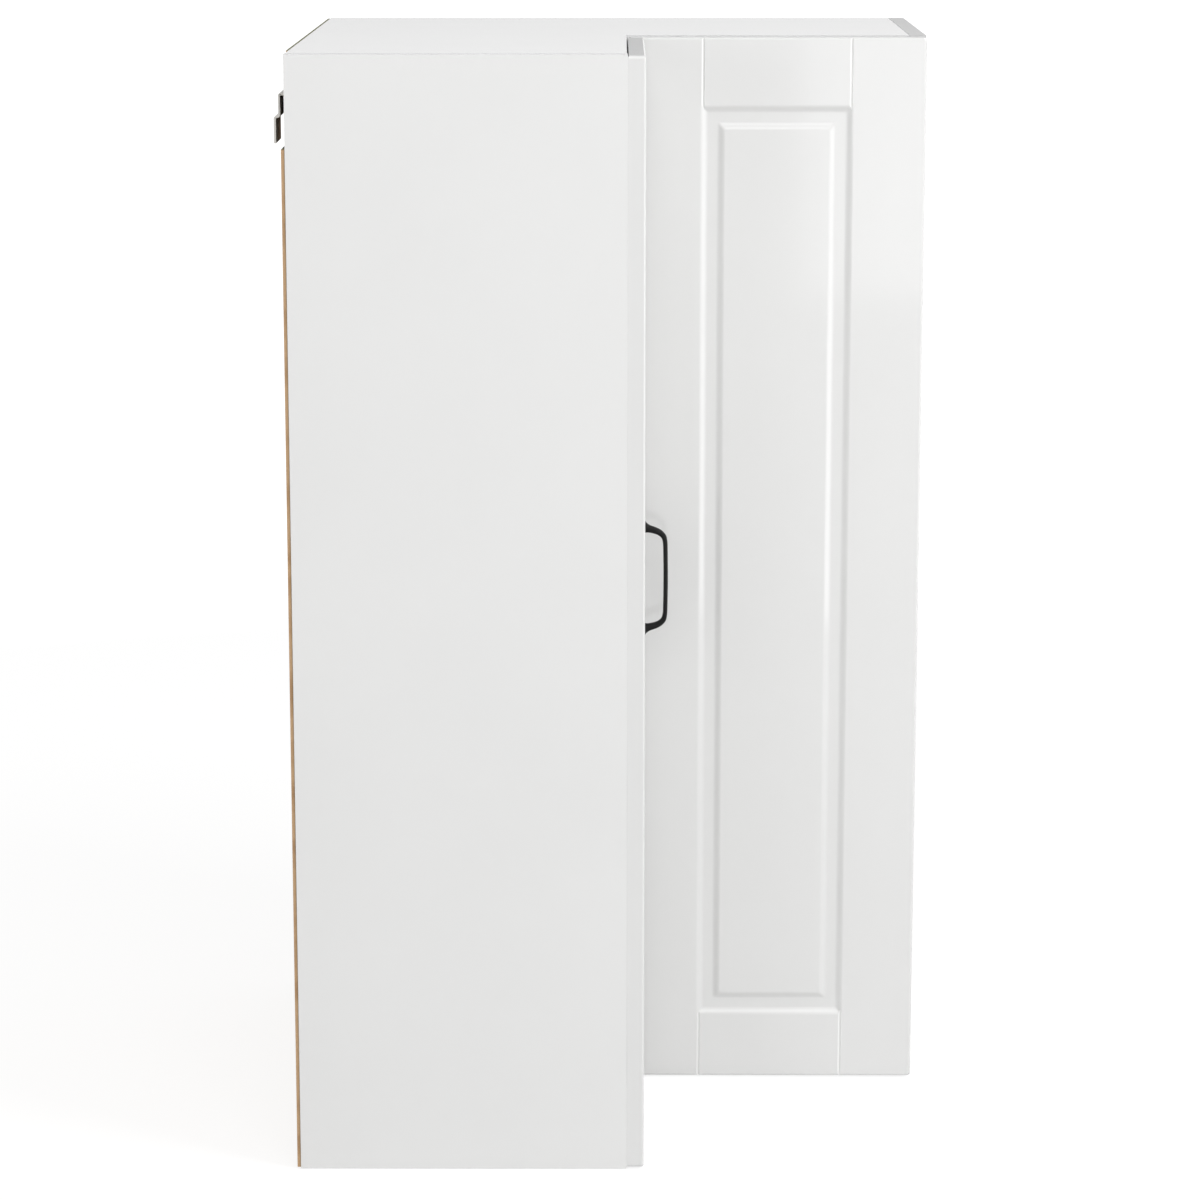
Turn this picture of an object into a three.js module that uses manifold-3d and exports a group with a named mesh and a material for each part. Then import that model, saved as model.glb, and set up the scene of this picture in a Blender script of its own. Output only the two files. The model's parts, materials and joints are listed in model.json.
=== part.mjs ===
// L-shaped corner wall cabinet with a folding pair of raised-panel doors, in millimetres, +Z up.
// Pieces are placed in a plan frame: X runs along the back wall from the room corner,
// Y runs from the left end panel (Y = 0) to the back wall (Y = ARM), Z = 0 is the underside.
import * as THREE from "three";
import { mergeVertices } from "three/addons/utils/BufferGeometryUtils.js";
import Module from "manifold-3d";

const wasm = await Module();
wasm.setup();

// Outer size and boards
const ARM = 570; // length of the cabinet along each wall
const ARM_DEPTH = 310; // depth of each arm with its door
const HEIGHT = 1000;
const BOARD = 15;
const SEAM = 0.2; // gap left between boards that butt together
const EDGE_BAND = 0.5; // thick band on the front edge of each end panel
const DOOR_GAP = 1.5; // between the carcass front and the back of the doors
const CARCASS_DEPTH = ARM_DEPTH - BOARD - DOOR_GAP;
const INNER_CORNER = ARM - CARCASS_DEPTH; // Y of the right arm's front edges
const SHELF_HEIGHTS = { lower: 325, upper: 650 }; // undersides
const SHELF_SETBACK = 20;
const BATTEN = 20;

// Back sheets
const SHEET = 3;
const SHEET_INSET = 1; // the sheets stop this far inside the carcass outline
const NOTCH_HEIGHT = 81; // cut-out for the hanger, measured from the cabinet's top
const NOTCH_WIDTH = 67;

// Doors
const DOOR_END_GAP = 2; // above and below each door
const LEFT_DOOR_EDGE = 0.5; // the left door stops this far inside the end panel's outer face
const LEFT_DOOR_END = 258;
const STILE = 67;
const RAIL = 62;
const EDGE_ROUND = 3;
const CHANNEL_DEPTH = 3;
const BEVEL = 6.5; // width of each sloping wall of the channel
const CHANNEL_FLAT = 9.5;
const V_GROOVE_WIDTH = 4.4;
const V_GROOVE_DEPTH = 2;

// Bow handle, on the left door's free stile
const HANDLE_SPACING = 96;
const HANDLE_SCREW = { radius: 2, head: 4, headHeight: 2.4, headEdge: 1.2, crown: 2.4 };
const HANDLE_BORE = 2.25;
const HANDLE_BORE_DEPTH = 6; // into each foot of the handle
const HANDLE_HEIGHT = HEIGHT / 2;

// Concealed hinges of the left door: plan positions of the two pivots of each link
const HINGE_HEIGHTS = [110, HEIGHT / 2, 890];
const ARM_PIVOT = { x: CARCASS_DEPTH - 12, y: 30 };
const CUP_PIVOT = { x: CARCASS_DEPTH + 4.5, y: 9.5 };
const CUP_RADIUS = 17.5;
const CUP_DEPTH = 12;
const CUP_CENTRE = LEFT_DOOR_EDGE + 5 + CUP_RADIUS;
const PLATE_LINE = CARCASS_DEPTH - 37; // X of the mounting plate's screws
const PIVOT_PIN_RADIUS = { arm: 1.5, cup: 1 };
const PIVOT_PLAY = 0.25; // radial, round each pivot pin

// Fold hinges between the two doors
const FOLD_HEIGHTS = [150, HEIGHT / 2, 850];
const KNUCKLE_RADIUS = 2.5;
const KNUCKLE_OFFSET = 1.9; // from the right door's back corner, in X and in Y
const FOLD_AXIS = {
  x: ARM_DEPTH - BOARD - KNUCKLE_OFFSET,
  y: INNER_CORNER - DOOR_GAP + KNUCKLE_OFFSET,
};
const LEAF = 1.6;
const FOLD_LENGTH = 50;
const FOLD_MIDDLE = 17; // length of the right leaf's knuckle
const FOLD_PIN_RADIUS = 1.2;
const FOLD_PLAY = 0.2;

// Steel hanger at the top wall-side corner of each end panel
const STEEL = 2;
const HANGER_WIDTH = 50;
const HANGER_TOP = 966;
const HANGER_STEP = 944; // underside of the step that sits on the wall rail
const HANGER_END = 923;
const HANGER_REACH = 10.2; // how far the tongue stands out behind the carcass

const WHITE_GLOSS = { color: 0xeeeeec, roughness: 0.08, metalness: 0 };
const WHITE_BOARD = { color: 0xe9e9e7, roughness: 0.3, metalness: 0 };
const RAW_FIBREBOARD = { color: 0x9c7a50, roughness: 0.85, metalness: 0 };
const SOFTWOOD = { color: 0xd2b27c, roughness: 0.7, metalness: 0 };
const ZINC_STEEL = { color: 0xb4b2ac, roughness: 0.35, metalness: 1 };
const NICKEL_STEEL = { color: 0xc4c4c2, roughness: 0.22, metalness: 1 };
const BLACK_METAL = { color: 0x1c1c1c, roughness: 0.45, metalness: 0.6 };

// ---------------------------------------------------------------- solids and placing

function toSolid(geometry) {
  const bare = new THREE.BufferGeometry();
  bare.setAttribute("position", geometry.getAttribute("position"));
  bare.setIndex(geometry.getIndex());
  const merged = mergeVertices(bare, 1e-4);
  return new wasm.Manifold(
    new wasm.Mesh({
      numProp: 3,
      vertProperties: merged.getAttribute("position").array,
      triVerts: new Uint32Array(merged.getIndex().array),
    }),
  );
}

function toGeometry(solid) {
  const { vertProperties, triVerts } = solid.getMesh();
  const geometry = new THREE.BufferGeometry();
  geometry.setAttribute("position", new THREE.BufferAttribute(vertProperties, 3));
  geometry.setIndex(new THREE.BufferAttribute(triVerts, 1));
  geometry.computeVertexNormals();
  return geometry;
}

function cut(base, ...tools) {
  return toGeometry(tools.reduce((solid, tool) => solid.subtract(toSolid(tool)), toSolid(base)));
}

function join(base, ...others) {
  return toGeometry(others.reduce((solid, other) => solid.add(toSolid(other)), toSolid(base)));
}

function addPiece(group, name, geometry, finish) {
  const mesh = new THREE.Mesh(geometry, new THREE.MeshStandardMaterial(finish));
  mesh.name = name;
  group.add(mesh);
  return mesh;
}

// Turns a piece drawn across X, up Y and out along Z to stand upright and face +X.
const FACING_PLUS_X = new THREE.Matrix4().makeBasis(
  new THREE.Vector3(0, 1, 0),
  new THREE.Vector3(0, 0, 1),
  new THREE.Vector3(1, 0, 0),
);

// The same, to face -Y.
const FACING_MINUS_Y = new THREE.Matrix4().makeBasis(
  new THREE.Vector3(1, 0, 0),
  new THREE.Vector3(0, 0, 1),
  new THREE.Vector3(0, -1, 0),
);

// A profile drawn in plan (X, Y), swept up from zLow to zHigh. A full circle in it gets the
// given number of sides.
function sweepUp(shape, zLow, zHigh, sides = 16) {
  const options = { depth: zHigh - zLow, bevelEnabled: false, curveSegments: sides / 2 };
  return new THREE.ExtrudeGeometry(shape, options).translate(0, 0, zLow);
}

// A profile drawn in side view (X, Z), swept along Y.
function sweepAlongY(shape, yLow, yHigh, sides = 16) {
  return sweepUp(shape, 0, yHigh - yLow, sides).applyMatrix4(FACING_MINUS_Y).translate(0, yHigh, 0);
}

// A profile drawn in side view (Y, Z), swept along X.
function sweepAlongX(shape, xLow, xHigh, sides = 16) {
  return sweepUp(shape, 0, xHigh - xLow, sides).applyMatrix4(FACING_PLUS_X).translate(xLow, 0, 0);
}

function outline(points) {
  return new THREE.Shape(points.map(([u, v]) => new THREE.Vector2(u, v)));
}

function rectangle(uLow, vLow, uHigh, vHigh) {
  return outline([[uLow, vLow], [uHigh, vLow], [uHigh, vHigh], [uLow, vHigh]]);
}

function disc(u, v, radius) {
  const shape = new THREE.Shape();
  shape.absarc(u, v, radius, 0, 2 * Math.PI);
  return shape;
}

// A bar with round ends between two points.
function stadium(from, to, radius) {
  const along = Math.atan2(to[1] - from[1], to[0] - from[0]);
  const shape = new THREE.Shape();
  shape.absarc(to[0], to[1], radius, along - Math.PI / 2, along + Math.PI / 2);
  shape.absarc(from[0], from[1], radius, along + Math.PI / 2, along + (3 * Math.PI) / 2);
  return shape;
}

// A profile of radius and height, turned about the Y axis.
function turned(profile) {
  return new THREE.LatheGeometry(profile.map(([r, y]) => new THREE.Vector2(r, y)), 12);
}

// Rings with equal numbers of points, joined in order and closed at both ends.
function loft(rings) {
  const count = rings[0].length;
  const positions = rings.flat().flatMap((point) => [point.x, point.y, point.z]);
  const index = [];
  for (let ring = 0; ring < rings.length - 1; ring++) {
    for (let i = 0; i < count; i++) {
      const a = ring * count + i;
      const b = ring * count + ((i + 1) % count);
      index.push(a, b, a + count, b, b + count, a + count);
    }
  }
  const last = (rings.length - 1) * count;
  for (let i = 1; i < count - 1; i++) {
    index.push(0, i + 1, i);
    index.push(last, last + i, last + i + 1);
  }
  const geometry = new THREE.BufferGeometry();
  geometry.setAttribute("position", new THREE.Float32BufferAttribute(positions, 3));
  geometry.setIndex(index);
  return geometry;
}

// The cabinet is symmetric about the diagonal through the room corner: this carries a piece
// of the left arm over to the right arm.
function acrossDiagonal(geometry) {
  const mirror = new THREE.Matrix4().set(0, -1, 0, ARM, -1, 0, 0, ARM, 0, 0, 1, 0, 0, 0, 0, 1);
  const mirrored = geometry.index ? geometry.toNonIndexed() : geometry.clone();
  mirrored.applyMatrix4(mirror);
  const position = mirrored.getAttribute("position");
  const vertex = new THREE.Vector3();
  const other = new THREE.Vector3();
  for (let i = 0; i < position.count; i += 3) {
    vertex.fromBufferAttribute(position, i + 1);
    other.fromBufferAttribute(position, i + 2);
    position.setXYZ(i + 1, other.x, other.y, other.z);
    position.setXYZ(i + 2, vertex.x, vertex.y, vertex.z);
  }
  mirrored.computeVertexNormals();
  return mirrored;
}

const radians = THREE.MathUtils.degToRad;

// ---------------------------------------------------------------- carcass

const PIN = { radius: 2.3, hole: 2.5, peg: 8, head: 3.4, reach: 9 };
const CAM = { radius: 7.2, hole: 7.5, height: 12, fromEnd: 24 };
Object.assign(CAM, { slot: 1.2, slotReach: 5, slotDepth: 2 });
const HANGER_SCREW = { radius: 2, hole: 2.2, length: 11, head: 4, headHeight: 2.2 };
const HANGER_SCREWS = [[14, 932], [27, 952]]; // X and Z on the left end panel
const EAR = { outside: 6, inside: 34, low: 920, round: 5 }; // the hanger's screwed ear, X and Z
const PIN_COLUMNS = [50, CARCASS_DEPTH - 45]; // X on the left end panel
const CAM_COLUMNS = [60, CARCASS_DEPTH - 60];

const pinLevel = (underside) => underside - PIN.head - SEAM;

// The left end panel, drilled for the shelf pins and the hanger's screws.
function endPanel() {
  const board = sweepAlongY(rectangle(0, 0, CARCASS_DEPTH + EDGE_BAND, HEIGHT), 0, BOARD);
  const holes = [];
  for (const underside of Object.values(SHELF_HEIGHTS)) {
    for (const x of PIN_COLUMNS) {
      const hole = disc(x, pinLevel(underside), PIN.hole);
      holes.push(sweepAlongY(hole, BOARD - PIN.peg - 1, BOARD + 1));
    }
  }
  for (const [x, z] of HANGER_SCREWS) {
    const hole = disc(x, z, HANGER_SCREW.hole);
    holes.push(sweepAlongY(hole, BOARD - HANGER_SCREW.length, BOARD + 1, 12));
  }
  return cut(board, ...holes);
}

// Outline of a board that fills both arms, with its front edges set back and its room corner
// cut out by the given amount.
function cornerOutline(setback, cornerCut) {
  const low = BOARD + SEAM;
  const front = CARCASS_DEPTH - setback;
  const points = [
    [0, low],
    [front, low],
    [front, ARM - front],
    [ARM - low, ARM - front],
    [ARM - low, ARM],
    [cornerCut, ARM],
  ];
  if (cornerCut > 0) points.push([cornerCut, ARM - cornerCut], [0, ARM - cornerCut]);
  return outline(points);
}

// Plan centres of the cam fittings that pull a board up to the two end panels.
function camCentres() {
  const left = CAM_COLUMNS.map((x) => [x, BOARD + CAM.fromEnd]);
  const right = CAM_COLUMNS.map((x) => [ARM - BOARD - CAM.fromEnd, ARM - x]);
  return [...left, ...right];
}

// The top and bottom boards: the inner face carries the cam fittings' sockets.
function deck(underside, innerFace) {
  const board = sweepUp(cornerOutline(0, 0), underside, underside + BOARD);
  const inward = Math.sign(underside + BOARD / 2 - innerFace);
  const depths = [innerFace - inward, innerFace + inward * (CAM.height + SEAM)];
  const sockets = camCentres().map(([x, y]) =>
    sweepUp(disc(x, y, CAM.hole), Math.min(...depths), Math.max(...depths), 24),
  );
  return cut(board, ...sockets);
}

// A cam: a disc with a cross slot in its open face, which is at Z = 0, facing down.
function camFitting() {
  const body = sweepUp(disc(0, 0, CAM.radius), 0, CAM.height, 24);
  const bar = rectangle(-CAM.slot / 2, -CAM.slotReach, CAM.slot / 2, CAM.slotReach);
  const slot = (turn) => sweepUp(bar, -1, CAM.slotDepth).rotateZ(turn);
  return cut(body, slot(0), slot(Math.PI / 2));
}

// A shelf pin: peg below Y = 0, round support above.
function shelfPin() {
  const profile = [[0, -PIN.peg], [PIN.radius, -PIN.peg], [PIN.radius, 0], [PIN.head, 0]];
  profile.push([PIN.head, PIN.reach - 1], [PIN.head - 1, PIN.reach], [0, PIN.reach]);
  return turned(profile);
}

// A back sheet with the hanger's cut-out at its top outer corner.
function backSheet(outer, inner) {
  const high = HEIGHT - SHEET_INSET;
  const notch = HEIGHT - NOTCH_HEIGHT;
  const toward = Math.sign(inner - outer);
  const inside = outer + toward * NOTCH_WIDTH;
  const points = [[outer, SHEET_INSET], [inner, SHEET_INSET], [inner, high]];
  points.push([inside, high], [inside, notch], [outer, notch]);
  return outline(toward > 0 ? points : points.reverse());
}

function addCarcass(cabinet) {
  const carcass = new THREE.Group();
  cabinet.add(carcass);
  const panel = endPanel();
  addPiece(carcass, "end_panel_left", panel, WHITE_GLOSS);
  addPiece(carcass, "end_panel_right", acrossDiagonal(panel), WHITE_GLOSS);
  addPiece(carcass, "bottom_panel", deck(0, BOARD), WHITE_BOARD);
  addPiece(carcass, "top_panel", deck(HEIGHT - BOARD, HEIGHT - BOARD), WHITE_BOARD);

  const battenTop = HEIGHT - BOARD - SEAM;
  const battenPlan = rectangle(SEAM, ARM - BATTEN, BATTEN, ARM - SEAM);
  const pinY = ARM - BATTEN / 2;
  const battenHoles = Object.values(SHELF_HEIGHTS).map((underside) =>
    sweepAlongX(disc(pinY, pinLevel(underside), PIN.hole), BATTEN - PIN.peg - 1, BATTEN + 1),
  );
  const batten = cut(sweepUp(battenPlan, BOARD + SEAM, battenTop), ...battenHoles);
  addPiece(carcass, "corner_batten", batten, SOFTWOOD);

  for (const [level, underside] of Object.entries(SHELF_HEIGHTS)) {
    const plan = cornerOutline(SHELF_SETBACK, BATTEN + 1);
    addPiece(carcass, "shelf_" + level, sweepUp(plan, underside, underside + BOARD), WHITE_BOARD);
    addShelfPins(carcass, level, pinLevel(underside));
  }

  const leftSheet = backSheet(SHEET_INSET, ARM - SEAM);
  const rightSheet = backSheet(ARM - SHEET_INSET, -SHEET - SEAM);
  const leftBack = sweepAlongX(leftSheet, -SHEET - SEAM, -SEAM);
  const rightBack = sweepAlongY(rightSheet, ARM + SEAM, ARM + SEAM + SHEET);
  addPiece(carcass, "back_sheet_left", leftBack, RAW_FIBREBOARD);
  addPiece(carcass, "back_sheet_right", rightBack, RAW_FIBREBOARD);
  addCams(carcass);
}

function addShelfPins(carcass, level, z) {
  const face = BOARD + SEAM;
  const place = (name, x, y, turn) => {
    const pin = addPiece(carcass, `shelf_pin_${level}_${name}`, shelfPin(), ZINC_STEEL);
    pin.position.set(x, y, z);
    pin.rotation.z = turn;
  };
  place("left_back", PIN_COLUMNS[0], face, 0);
  place("left_front", PIN_COLUMNS[1], face, 0);
  place("right_back", ARM - face, ARM - PIN_COLUMNS[0], Math.PI / 2);
  place("right_front", ARM - face, ARM - PIN_COLUMNS[1], Math.PI / 2);
  place("corner", BATTEN + SEAM, ARM - BATTEN / 2, -Math.PI / 2);
}

function addCams(carcass) {
  const places = ["left_back", "left_front", "right_back", "right_front"];
  camCentres().forEach(([x, y], i) => {
    const lower = addPiece(carcass, `cam_bottom_${places[i]}`, camFitting(), ZINC_STEEL);
    lower.position.set(x, y, BOARD);
    lower.rotation.x = Math.PI;
    const upper = addPiece(carcass, `cam_top_${places[i]}`, camFitting(), ZINC_STEEL);
    upper.position.set(x, y, HEIGHT - BOARD);
  });
}

// ---------------------------------------------------------------- hangers

// Folded steel: an ear screwed to the end panel, a flange that passes through the back sheet's
// cut-out, and a stepped tongue that drops behind the wall rail.
function hanger() {
  const drop = -HANGER_REACH + STEEL * 2; // outer face of the upper drop
  const profile = outline([
    [EAR.inside, HANGER_TOP],
    [drop + STEEL, HANGER_TOP],
    [drop, HANGER_TOP - STEEL],
    [drop, HANGER_STEP + 2 * STEEL],
    [-HANGER_REACH, HANGER_STEP + STEEL / 2],
    [-HANGER_REACH, HANGER_END],
    [-HANGER_REACH + STEEL, HANGER_END],
    [-HANGER_REACH + STEEL, HANGER_STEP],
    [drop + STEEL, HANGER_STEP],
    [drop + STEEL, HANGER_TOP - STEEL],
    [EAR.inside, HANGER_TOP - STEEL],
  ]);
  const near = BOARD + SEAM;
  const folded = sweepAlongY(profile, near, near + HANGER_WIDTH);
  const ear = new THREE.Shape();
  ear.moveTo(EAR.outside, HANGER_TOP);
  ear.absarc(EAR.outside + EAR.round, EAR.low + EAR.round, EAR.round, Math.PI, 1.5 * Math.PI);
  ear.absarc(EAR.inside - EAR.round, EAR.low + EAR.round, EAR.round, 1.5 * Math.PI, 2 * Math.PI);
  ear.lineTo(EAR.inside, HANGER_TOP);
  const plate = sweepAlongY(ear, near, near + STEEL);
  const holes = HANGER_SCREWS.map(([x, z]) =>
    sweepAlongY(disc(x, z, HANGER_SCREW.hole), near - 1, near + STEEL + 1, 12),
  );
  return cut(join(folded, plate), ...holes);
}

function hangerScrew(x, z) {
  const face = BOARD + SEAM + STEEL + SEAM;
  const { radius, head, headHeight, length } = HANGER_SCREW;
  const tip = BOARD - length + 1 - face;
  const profile = [[0, tip], [radius, tip + 2], [radius, 0], [head, 0]];
  profile.push([head, headHeight * 0.4], [head * 0.6, headHeight], [0, headHeight]);
  return turned(profile).translate(x, face, z);
}

function addHangers(cabinet) {
  const hangers = new THREE.Group();
  cabinet.add(hangers);
  addPiece(hangers, "hanger_left", hanger(), ZINC_STEEL);
  addPiece(hangers, "hanger_right", acrossDiagonal(hanger()), ZINC_STEEL);
  HANGER_SCREWS.forEach(([x, z], i) => {
    const screw = hangerScrew(x, z);
    addPiece(hangers, `hanger_screw_left_${i + 1}`, screw, ZINC_STEEL);
    addPiece(hangers, `hanger_screw_right_${i + 1}`, acrossDiagonal(screw), ZINC_STEEL);
  });
}

// ---------------------------------------------------------------- doors

// A rectangle of the door's face, drawn in by a stile-side and a rail-side inset, with rounded
// corners, at depth w from the door's back.
function faceRing(width, height, stileInset, railInset, w, radius) {
  const steps = 4;
  const ring = [];
  const corners = [
    [width - stileInset - radius, railInset + radius, -90],
    [width - stileInset - radius, height - railInset - radius, 0],
    [stileInset + radius, height - railInset - radius, 90],
    [stileInset + radius, railInset + radius, 180],
  ];
  for (const [u, v, start] of corners) {
    for (let step = 0; step <= steps; step++) {
      const angle = radians(start + (90 * step) / steps);
      const du = radius * Math.cos(angle);
      ring.push(new THREE.Vector3(u + du, v + radius * Math.sin(angle), w));
    }
  }
  return ring;
}

// A raised-panel door in its own frame: U across, V up, W from back to front.
function raisedPanelDoor(width, height) {
  const ring = (inset, w, radius) => faceRing(width, height, inset, inset, w, radius);
  const framed = (inset, w) =>
    faceRing(width, height, STILE + inset, RAIL + inset, w, Math.max(0.4, 1.5 - inset / 10));
  const rings = [ring(0, 0, EDGE_ROUND), ring(0, BOARD - EDGE_ROUND, EDGE_ROUND)];
  for (const angle of [30, 60, 90]) {
    const inset = EDGE_ROUND * (1 - Math.cos(radians(angle)));
    const rise = EDGE_ROUND * Math.sin(radians(angle));
    rings.push(ring(inset, BOARD - EDGE_ROUND + rise, EDGE_ROUND));
  }
  const floor = BOARD - CHANNEL_DEPTH;
  rings.push(framed(0, BOARD), framed(BEVEL, floor), framed(BEVEL + CHANNEL_FLAT, floor));
  rings.push(framed(2 * BEVEL + CHANNEL_FLAT, BOARD));

  const groove = (u, vLow, vHigh) => {
    const half = V_GROOVE_WIDTH / 2;
    const over = 1; // how far the cutter stands proud of the face, on the same slopes
    const wide = half * (1 + over / V_GROOVE_DEPTH);
    const cutter = [[u - wide, BOARD + over], [u, BOARD - V_GROOVE_DEPTH], [u + wide, BOARD + over]];
    return sweepAlongY(outline(cutter), vLow, vHigh);
  };
  const grooves = [];
  for (const u of [STILE + V_GROOVE_WIDTH / 2, width - STILE - V_GROOVE_WIDTH / 2]) {
    grooves.push(groove(u, -1, RAIL + BEVEL / 2), groove(u, height - RAIL - BEVEL / 2, height + 1));
  }
  return cut(loft(rings), ...grooves);
}

const doorHeight = HEIGHT - 2 * DOOR_END_GAP;
const leftDoorBack = ARM_DEPTH - BOARD; // X
const rightDoorBack = ARM - ARM_DEPTH + BOARD; // Y
const handleY = LEFT_DOOR_END - STILE / 2;

function leftDoor() {
  const door = raisedPanelDoor(LEFT_DOOR_END - LEFT_DOOR_EDGE, doorHeight);
  door.applyMatrix4(FACING_PLUS_X).translate(leftDoorBack, LEFT_DOOR_EDGE, DOOR_END_GAP);
  const cups = HINGE_HEIGHTS.map((z) =>
    sweepAlongX(disc(CUP_CENTRE, z, CUP_RADIUS), leftDoorBack - 1, leftDoorBack + CUP_DEPTH, 32),
  );
  const bores = [-1, 1].map((side) => {
    const z = HANDLE_HEIGHT + (side * HANDLE_SPACING) / 2;
    return sweepAlongX(disc(handleY, z, HANDLE_BORE), leftDoorBack - 1, ARM_DEPTH + 1, 12);
  });
  return cut(door, ...cups, ...bores);
}

function rightDoor() {
  const door = raisedPanelDoor(ARM - leftDoorBack, doorHeight);
  return door.applyMatrix4(FACING_MINUS_Y).translate(leftDoorBack, rightDoorBack, DOOR_END_GAP);
}

// ---------------------------------------------------------------- handle

// Half of the bow from its foot to the middle of the grip. Each row is the distance from the
// door, the distance from the handle's middle, half the thickness and half the width.
const BOW = [
  [0.2, 50.6, 7.2, 6.5],
  [0.9, 50.5, 7.1, 6.4],
  [1.4, 49.3, 5.9, 5.7],
  [2.4, 48.1, 4.8, 5.0],
  [5, 46.9, 3.6, 4.5],
  [10, 45.5, 3.1, 4.4],
  [15, 43.3, 2.8, 4.4],
  [18.8, 39.6, 2.5, 4.4],
  [20.2, 34.5, 2.2, 4.5],
  [20.6, 26, 2.1, 4.5],
  [20.9, 0, 2.1, 4.5],
];

function bowHandle() {
  const mirrored = BOW.slice(0, -1).reverse();
  const rows = [...BOW, ...mirrored.map(([out, along, thick, wide]) => [out, -along, thick, wide])];
  const sides = 12;
  const rings = rows.map(([out, along, thick, wide], i) => {
    const before = rows[Math.max(i - 1, 0)];
    const after = rows[Math.min(i + 1, rows.length - 1)];
    const atFoot = i < 4 || i > rows.length - 5;
    const slope = Math.atan2(after[1] - before[1], after[0] - before[0]);
    const direction = atFoot ? (i < 4 ? 0 : Math.PI) : slope;
    const ring = [];
    for (let side = 0; side < sides; side++) {
      const angle = (2 * Math.PI * side) / sides;
      const across = thick * Math.cos(angle);
      const x = out - across * Math.sin(direction);
      const z = along + across * Math.cos(direction);
      ring.push(new THREE.Vector3(x, wide * Math.sin(angle), z));
    }
    return ring;
  });
  const bow = loft(rings.map((ring) => ring.reverse()));
  const sockets = [-1, 1].map((side) =>
    sweepAlongX(disc(0, (side * HANDLE_SPACING) / 2, HANDLE_BORE), -1, HANDLE_BORE_DEPTH, 12),
  );
  return cut(bow, ...sockets);
}

function handleScrew() {
  const { radius, head, headHeight, headEdge, crown } = HANDLE_SCREW;
  const length = SEAM + BOARD + HANDLE_BORE_DEPTH - 1;
  const profile = [[0, -headHeight], [crown, -headHeight], [head, -headEdge], [head, 0]];
  profile.push([radius, 0], [radius, length], [0, length]);
  return turned(profile).rotateZ(-Math.PI / 2);
}

// ---------------------------------------------------------------- concealed hinges

// Screwed wings, a foot under the arm and a raised rail that the arm clips onto.
const PLATE = { thick: 1.8, wing: 20, wingRadius: 6, footBack: 14, footFront: 20, footHalf: 7 };
Object.assign(PLATE, { railBack: 12, railFront: 18, railSlope: 2, railTop: 5, railHalf: 4.5 });

function mountingPlate() {
  const face = BOARD + SEAM;
  const wings = stadium([PLATE_LINE, -PLATE.wing], [PLATE_LINE, PLATE.wing], PLATE.wingRadius);
  const footBack = PLATE_LINE - PLATE.footBack;
  const foot = rectangle(footBack, -PLATE.footHalf, PLATE_LINE + PLATE.footFront, PLATE.footHalf);
  const railBack = PLATE_LINE - PLATE.railBack;
  const railFront = PLATE_LINE + PLATE.railFront;
  const rail = outline([
    [railBack, face],
    [railFront, face],
    [railFront - PLATE.railSlope, face + PLATE.railTop],
    [railBack, face + PLATE.railTop],
  ]);
  return join(
    sweepAlongY(wings, face, face + PLATE.thick),
    sweepAlongY(foot, face, face + PLATE.thick),
    sweepUp(rail, -PLATE.railHalf, PLATE.railHalf),
  );
}

// A channel of bent sheet that carries the link's pivot between its cheeks.
const CHANNEL = { back: 20, lift: 2.3, depth: 7.2, half: 7, sheet: 1.2, eye: 4, pinOver: 0.6 };

function hingeArm() {
  const { x, y } = ARM_PIVOT;
  const { half, sheet, eye } = CHANNEL;
  const back = PLATE_LINE - CHANNEL.back;
  const low = BOARD + SEAM + CHANNEL.lift;
  const high = low + CHANNEL.depth;
  const step = { x: PLATE_LINE + 2, rise: PLATE_LINE + 12, y: y - 1 }; // where the channel climbs
  const side = new THREE.Shape();
  side.moveTo(back, low);
  side.lineTo(PLATE_LINE + 10, low);
  side.lineTo(x, y - eye);
  side.absarc(x, y, eye, -Math.PI / 2, Math.PI / 2);
  side.lineTo(step.rise, step.y);
  side.lineTo(step.x, high);
  side.lineTo(back, high);
  const webEnd = x - 6; // leaves the link room to turn
  const web = outline([
    [back, high - sheet],
    [step.x + 0.4, high - sheet],
    [step.rise + 0.6, step.y - sheet],
    [webEnd, y + 1.4],
    [webEnd, y + 2.8],
    [step.rise, step.y],
    [step.x, high],
    [back, high],
  ]);
  const cheek = (zLow) => sweepUp(side, zLow, zLow + sheet);
  const reach = half + CHANNEL.pinOver;
  const pin = sweepUp(disc(x, y, PIVOT_PIN_RADIUS.arm), -reach, reach, 12);
  return join(sweepUp(web, -half, half), cheek(-half), cheek(half - sheet), pin);
}

// The cranked link: it hooks round the cup's rim and the door's edge as the door opens.
// The crank's bends are X and Y steps from the cup's pivot.
const LINK = { strap: 2.5, half: 3.5, eyeAtArm: 3.3, eyeAtCup: 2.2 };
const LINK_BENDS = [[5.1, 3.1], [3.1, 7.8], [1.1, 12.5]];

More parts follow.
